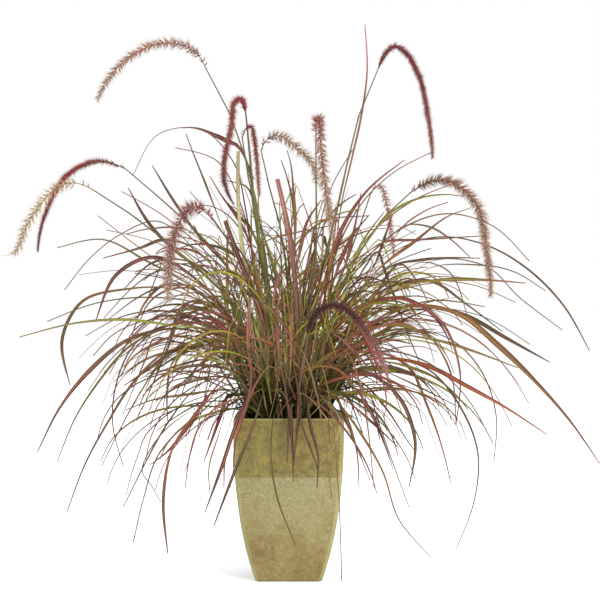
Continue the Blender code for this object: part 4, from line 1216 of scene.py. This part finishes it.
def point_at(line, distance):
    """The point at a distance along a line."""
    for a, b in zip(line, line[1:]):
        step = (b - a).length
        if distance <= step:
            return a.lerp(b, distance / step)
        distance -= step
    return line[-1]


def guide_along(name, points):
    """A guide mesh that runs through the points."""
    mesh = bpy.data.meshes.new(name)
    mesh.from_pydata(points, [(i, i + 1) for i in range(len(points) - 1)], [])
    return mesh


def stem_guide(line, radii):
    """The culm's line with its thickness: swollen at the joints, and where it is sheathed."""
    length = line_length(line)
    steps = round(length / STEM_SEGMENT)
    places = {length * i / steps: (1.0, 0.0) for i in range(steps + 1)}
    sheathed_to = length * STEM_SHEATHS_END
    sheath = STEM_JOINT_SPACING * STEM_SHEATH_SHARE
    for joint in range(1, int(sheathed_to / STEM_JOINT_SPACING) + 1):
        for offset, swell, mark in (
                (-STEM_JOINT_END, 1.0, 0.0), (-STEM_JOINT_EDGE, STEM_JOINT_SWELL, 1.0),
                (STEM_JOINT_EDGE, STEM_JOINT_SWELL, 1.0), (STEM_JOINT_END, STEM_SHEATH_SWELL, 0.0),
                (sheath, STEM_SHEATH_SWELL, 0.0), (sheath + STEM_JOINT_EDGE, 1.0, 0.0)):
            places[joint * STEM_JOINT_SPACING + offset] = (swell, mark)
    distances = sorted(at for at in places if at < length + 1e-6)
    radii_along, marks, covers = [], [], []
    for at in distances:
        swell, mark = places[at]
        past = at % STEM_JOINT_SPACING
        covered = STEM_JOINT_SPACING < at < sheathed_to and past < sheath + STEM_JOINT_EDGE / 2.0
        if covered and mark == 0.0:
            swell = STEM_SHEATH_SWELL
        radii_along.append(lerp(*radii, at / length) * swell)
        marks.append(mark)
        covers.append(float(covered))
    mesh = guide_along("stem_guide", [point_at(line, at) for at in distances])
    add_layer(mesh, "half_width", radii_along)
    add_layer(mesh, "joint", marks)
    add_layer(mesh, "sheathed", covers)
    return mesh


stem_tree = make_stem_tree()
stem_skin = make_stem_skin()
stem_lines = []
for stem in nodes_named("flower_stem_"):
    foot = Vector((0.0, 0.0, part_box(stem)[0].z))
    stem_lines.append(bar_line(stem, STEM_BAR_SIDES, foot))
    radii = STOUT_STEM_RADII if stem == STOUT_STEM else STEM_RADII
    culm = plain_object(stem.replace("flower_stem", "culm"), grown_mesh(
        stem_guide(stem_lines[-1], radii), stem_tree,
        {"Sides": STEM_SIDES, "Material": stem_skin}))
    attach(culm, "root")
    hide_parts(stem)


# ---------------------------------------------------------------------------------------------
# The flower spikes: nodding foxtails, each a thin stalk set all round with spikelets in bursts
# of fine slanting bristles that point along the spike. They grow on from the neck of the stem,
# open crimson and weather from rose to buff.
# ---------------------------------------------------------------------------------------------

SPIKE_BRISTLES = 14              # to each spikelet
SPIKELET_LENGTH = 0.55           # of its body, as a share of its bristles
SPIKELET_HALF_WIDTH = 0.085
BRISTLE_RADIUS = 0.018
SPIKE_STALK_RADIUS = 0.0011
SPIKE_BAR_SIDES = 7              # of the solid that a spike is fitted over
SPIKE_SIZES = ((0.0, 0.62), (0.12, 0.88), (0.35, 1.0), (0.8, 0.92), (1.0, 0.55))    # along it
GOLDEN_ANGLE = math.radians(137.508)

# Each spike: its colours at the neck, the middle and the tip, the spacing of its spikelets, and
# its shape: the reach of its spikelets; how far they open from it, that at its tip, and the
# share of it where they begin to close; their size at the neck; the share of it at the neck
# where they stand apart; the share at which they end and a bare hair runs on; the radius of its
# packed core; and how far its bristles lean from their spikelet, in radians
SPIKE_SHAPE = ("Reach", "Opening", "Tip Opening", "Closes From", "Neck Size", "Bare Neck",
               "Brush End", "Core Radius", "Spread")
SPIKES = [
    ((100, 68, 56), (148, 106, 88), (148, 120, 98), 0.0019, 0.0190, 0.98, 0.62, 0.3, 1.0, 0.16,
     0.97, 0.0012, 0.26),
    ((94, 70, 56), (134, 50, 58), (94, 58, 50), 0.0010, 0.0160, 0.60, 0.12, 0.5, 1.0, 0.28,
     1.0, 0.0026, 0.40),
    ((124, 108, 72), (166, 142, 104), (154, 138, 104), 0.0022, 0.0180, 1.05, 0.65, 0.3, 1.0, 0.26,
     0.90, 0.0010, 0.26),
    ((124, 48, 50), (132, 74, 68), (96, 46, 52), 0.0010, 0.0142, 0.86, 0.14, 0.80, 1.2, 0.02,
     1.0, 0.0038, 0.42),
    ((104, 78, 62), (150, 120, 98), (160, 134, 112), 0.0019, 0.0200, 1.05, 0.75, 0.3, 1.0, 0.18,
     1.0, 0.0012, 0.28),
    ((132, 62, 58), (148, 114, 96), (162, 136, 116), 0.0018, 0.0205, 1.05, 0.70, 0.1, 1.15,
     0.02, 1.0, 0.0016, 0.22),
    ((92, 34, 40), (114, 48, 52), (142, 94, 86), 0.0010, 0.0150, 0.78, 0.62, 0.3, 1.0, 0.06,
     1.0, 0.0034, 0.36),
    ((104, 74, 62), (146, 114, 96), (158, 132, 114), 0.0013, 0.0198, 1.04, 0.64, 0.3, 1.0, 0.10,
     1.0, 0.0024, 0.26),
    ((124, 62, 64), (138, 98, 90), (162, 140, 120), 0.0017, 0.0225, 1.08, 0.82, 0.3, 1.2, 0.18,
     1.0, 0.0014, 0.28),
    ((54, 24, 27), (70, 30, 32), (172, 116, 112), 0.0010, 0.0150, 0.90, 0.60, 0.3, 1.2, 0.02,
     1.0, 0.0036, 0.45),
    ((138, 98, 86), (150, 112, 98), (160, 132, 114), 0.0018, 0.0150, 0.98, 0.66, 0.3, 1.0, 0.20,
     1.0, 0.0012, 0.28),
    ((110, 42, 46), (118, 56, 54), (144, 108, 92), 0.0011, 0.0125, 0.80, 0.45, 0.3, 1.0, 0.30,
     1.0, 0.0022, 0.32),
]


def spiral(tree):
    """The angle at which each bristle or spikelet stands: the golden angle past the last."""
    return product(tree, step(tree, "InputIndex"), GOLDEN_ANGLE)


def make_spikelet(tree, given):
    """A pointed spikelet one unit long with its bristles, along +Z."""
    axis = step(tree, "CurvePrimitiveLine", {"Start": (0.0, 0.0, 0.0), "End": (0.0, 0.0, 1.0)})
    share = step(tree, "SplineParameter")
    axis = stored(tree, axis, "outward", share)
    bristle = swept(tree, axis, circle(tree, 3, given["Bristle Radius"]),
                    ranged(tree, share, 0.0, 1.0, 1.0, 0.15))
    tilt = random_value(tree, 0.05, given["Spread"], 3)
    bristles = step(tree, "InstanceOnPoints", {
        0: step(tree, "Points", {0: given["Bristles"]}), "Instance": bristle,
        "Rotation": turned(tree, vector_of(tree, y=tilt, z=spiral(tree))),
        "Scale": random_value(tree, 0.72, 1.15, 5)})
    body = swept(tree, step(tree, "ResampleCurve", {0: axis, "Count": 5}),
                 circle(tree, 5, SPIKELET_HALF_WIDTH / SPIKELET_LENGTH),
                 calculated(tree, "SINE", product(tree, share, 3.0)))
    body = step(tree, "Transform", {0: body, "Scale": (SPIKELET_LENGTH,) * 3})
    return step(tree, "RealizeInstances", {0: joined(tree, bristles, body)})


def value_curve(tree, value, stops):
    """A value read off a smooth curve through the stops."""
    node = add_node(tree, "ShaderNodeFloatCurve", {"Value": value})
    curve = node.mapping.curves[0]
    curve.points[0].location, curve.points[1].location = stops[0], stops[-1]
    for stop in stops[1:-1]:
        curve.points.new(*stop)
    node.mapping.update()
    return node.outputs[0]


def make_spike_tree():
    """Spikelets set in a spiral round the stalk, opening away from it and towards the tip."""
    tree, given = new_tree(
        "spike_brush", Int=["Spikelets", "Bristles", "Seed"],
        Float=[*SPIKE_SHAPE, "Bristle Radius", "Stalk Radius"],
        Color=["Neck Colour", "Middle Colour", "Tip Colour"])
    line = step(tree, "ResampleCurve", {0: guide_curve(tree, given["Geometry"]),
                                        "Count": given["Spikelets"]})
    line = marked_along(tree, line)
    spots = add_node(tree, "GeometryNodeCurveToPoints", {0: line}, mode="EVALUATED")
    along = recalled(tree, "along")

    opening = product(tree, ranged(tree, along, given["Closes From"], 0.97, given["Opening"],
                                   given["Tip Opening"]),
                      random_value(tree, 0.78, 1.22, given["Seed"]))
    spin = calculated(tree, "ADD", spiral(tree), random_value(tree, -0.3, 0.3, 17))
    lean = turned(tree, vector_of(tree, y=opening, z=spin))
    outward = add_node(tree, "FunctionNodeRotateRotation", {
        0: spots.outputs["Rotation"], 1: lean}, rotation_space="LOCAL").outputs[0]
    size = product(tree, value_curve(tree, along, SPIKE_SIZES), given["Reach"],
                   ranged(tree, along, 0.08, 0.30, given["Neck Size"], 1.0),
                   random_value(tree, 0.85, 1.18, 11))
    dense = ranged(tree, along, 0.0, given["Bare Neck"], 0.22, 1.0, "SMOOTHSTEP")
    before_end = calculated(tree, "LESS_THAN", along, given["Brush End"])
    kept = add_node(tree, "FunctionNodeRandomValue", {
        "Probability": product(tree, dense, before_end), 8: 23}, data_type="BOOLEAN").outputs[3]
    spikelets = step(tree, "InstanceOnPoints", {
        0: spots.outputs[0], "Selection": kept, "Instance": make_spikelet(tree, given),
        "Rotation": outward, "Scale": size})

    thick = ranged(tree, along, 0.0, given["Bare Neck"], given["Stalk Radius"],
                   given["Core Radius"])
    thick = product(tree, thick, ranged(tree, along, 0.6, 0.97, 1.0, 0.35))
    stalk = swept(tree, line, circle(tree, 6), thick)
    real = step(tree, "RealizeInstances", {0: joined(tree, spikelets, stalk)})
    low = mixed(tree, ranged(tree, along, 0.06, 0.36), given["Neck Colour"],
                given["Middle Colour"])
    tint = mixed(tree, ranged(tree, along, 0.50, 1.0), low, given["Tip Colour"])
    return close_tree(tree, stored(tree, real, "tint", tint, "FLOAT_COLOR"), given["Material"])


def make_bristle_skin():
    material, tree, shader = new_material("bristle", Roughness=0.7, Specular_IOR_Level=0.15)
    place = object_place(tree)
    outward = attribute(tree, "outward")
    tint = attribute(tree, "tint", "Color")
    lighter = mixed(tree, 0.22, washed(tree, tint, (1.5, 1.5, 1.5)), seen(206, 178, 160))
    darker = washed(tree, tint, (0.40, 0.30, 0.32))
    for share, shade in (
            (ranged(tree, speckle(tree, place, 420.0, 1.0), 0.35, 0.65, 0.0, 0.4), lighter),
            (ranged(tree, speckle(tree, place, 160.0, 1.0), 0.5, 0.7, 0.0, 0.5), darker),
            (ranged(tree, outward, 0.50, 1.0, 0.0, 0.6), lighter),
            # Painted shade: darker towards the core of the brush, where the bristles shade one another.
            (ranged(tree, outward, 0.0, 0.45, 0.55, 0.0), darker)):
        tint = mixed(tree, share, tint, shade)
    finish(tree, shader, tint)
    return material


spike_tree = make_spike_tree()
bristle_skin = make_bristle_skin()
for number, (spike, looks) in enumerate(zip(nodes_named("flower_spike_"), SPIKES)):
    neck_colour, middle_colour, tip_colour, spacing, *shape = looks
    line = bar_line(spike, SPIKE_BAR_SIDES, stem_lines[number][-1])
    guide = guide_along("spike_guide", line)
    brush = plain_object(spike.replace("flower_spike", "foxtail"), grown_mesh(guide, spike_tree, {
        **dict(zip(SPIKE_SHAPE, shape)), "Spikelets": round(line_length(line) / spacing),
        "Bristles": SPIKE_BRISTLES, "Bristle Radius": BRISTLE_RADIUS, "Stalk Radius": SPIKE_STALK_RADIUS,
        "Neck Colour": seen(*neck_colour), "Middle Colour": seen(*middle_colour),
        "Tip Colour": seen(*tip_colour), "Seed": number, "Material": bristle_skin}))
    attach(brush, "root")
    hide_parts(spike)


# ---------------------------------------------------------------------------------------------
# The studio: a plain white floor under soft, even light, and the camera at the photograph's
# view: level, square to the planter's front face, far off with a long lens.
# ---------------------------------------------------------------------------------------------

CAMERA_PLACE = (0.0246, -3.3, 0.616)
CAMERA_HALF_VIEW = 0.6705        # half of what the frame shows, at the planter
FLOOR_HALF_WIDTH = 9.0
LAMP_PLACE = Vector((1.3, -2.4, 2.8))
LAMP_TARGET = Vector((0.0, 0.0, 0.6))
LAMP_WIDTH = 1.2
LAMP_POWER = 150.0

floor_mesh = bpy.data.meshes.new("floor")
floor_mesh.from_pydata([(x * FLOOR_HALF_WIDTH, y * FLOOR_HALF_WIDTH, 0.0)
                        for x, y in ((-1, -1), (1, -1), (1, 1), (-1, 1))], [], [(0, 1, 2, 3)])
floor = plain_object("floor", floor_mesh)
floor.data.materials.append(new_material(
    "white_floor", Roughness=0.9, Base_Color=(0.97, 0.97, 0.98, 1.0),
    Emission_Color=(0.84, 0.92, 1.0, 1.0), Emission_Strength=0.32)[0])

world = bpy.data.worlds.new("studio")
bpy.context.scene.world = world
world.use_nodes = True
sky = world.node_tree.nodes["Background"].inputs
sky["Color"].default_value = (1.0, 1.0, 1.0, 1.0)
sky["Strength"].default_value = 1.0

lamp = plain_object("key", bpy.data.lights.new("key", "AREA"))
lamp.data.size = LAMP_WIDTH
lamp.data.energy = LAMP_POWER
lamp.location = LAMP_PLACE
lamp.rotation_euler = (LAMP_TARGET - LAMP_PLACE).to_track_quat("-Z", "Y").to_euler()

camera = plain_object("camera", bpy.data.cameras.new("camera"))
camera.location = CAMERA_PLACE
camera.rotation_euler = (math.pi / 2.0, 0.0, 0.0)
camera.data.lens = camera.data.sensor_width / 2.0 * -CAMERA_PLACE[1] / CAMERA_HALF_VIEW
bpy.context.scene.camera = camera
bpy.context.scene.view_settings.view_transform = "Standard"
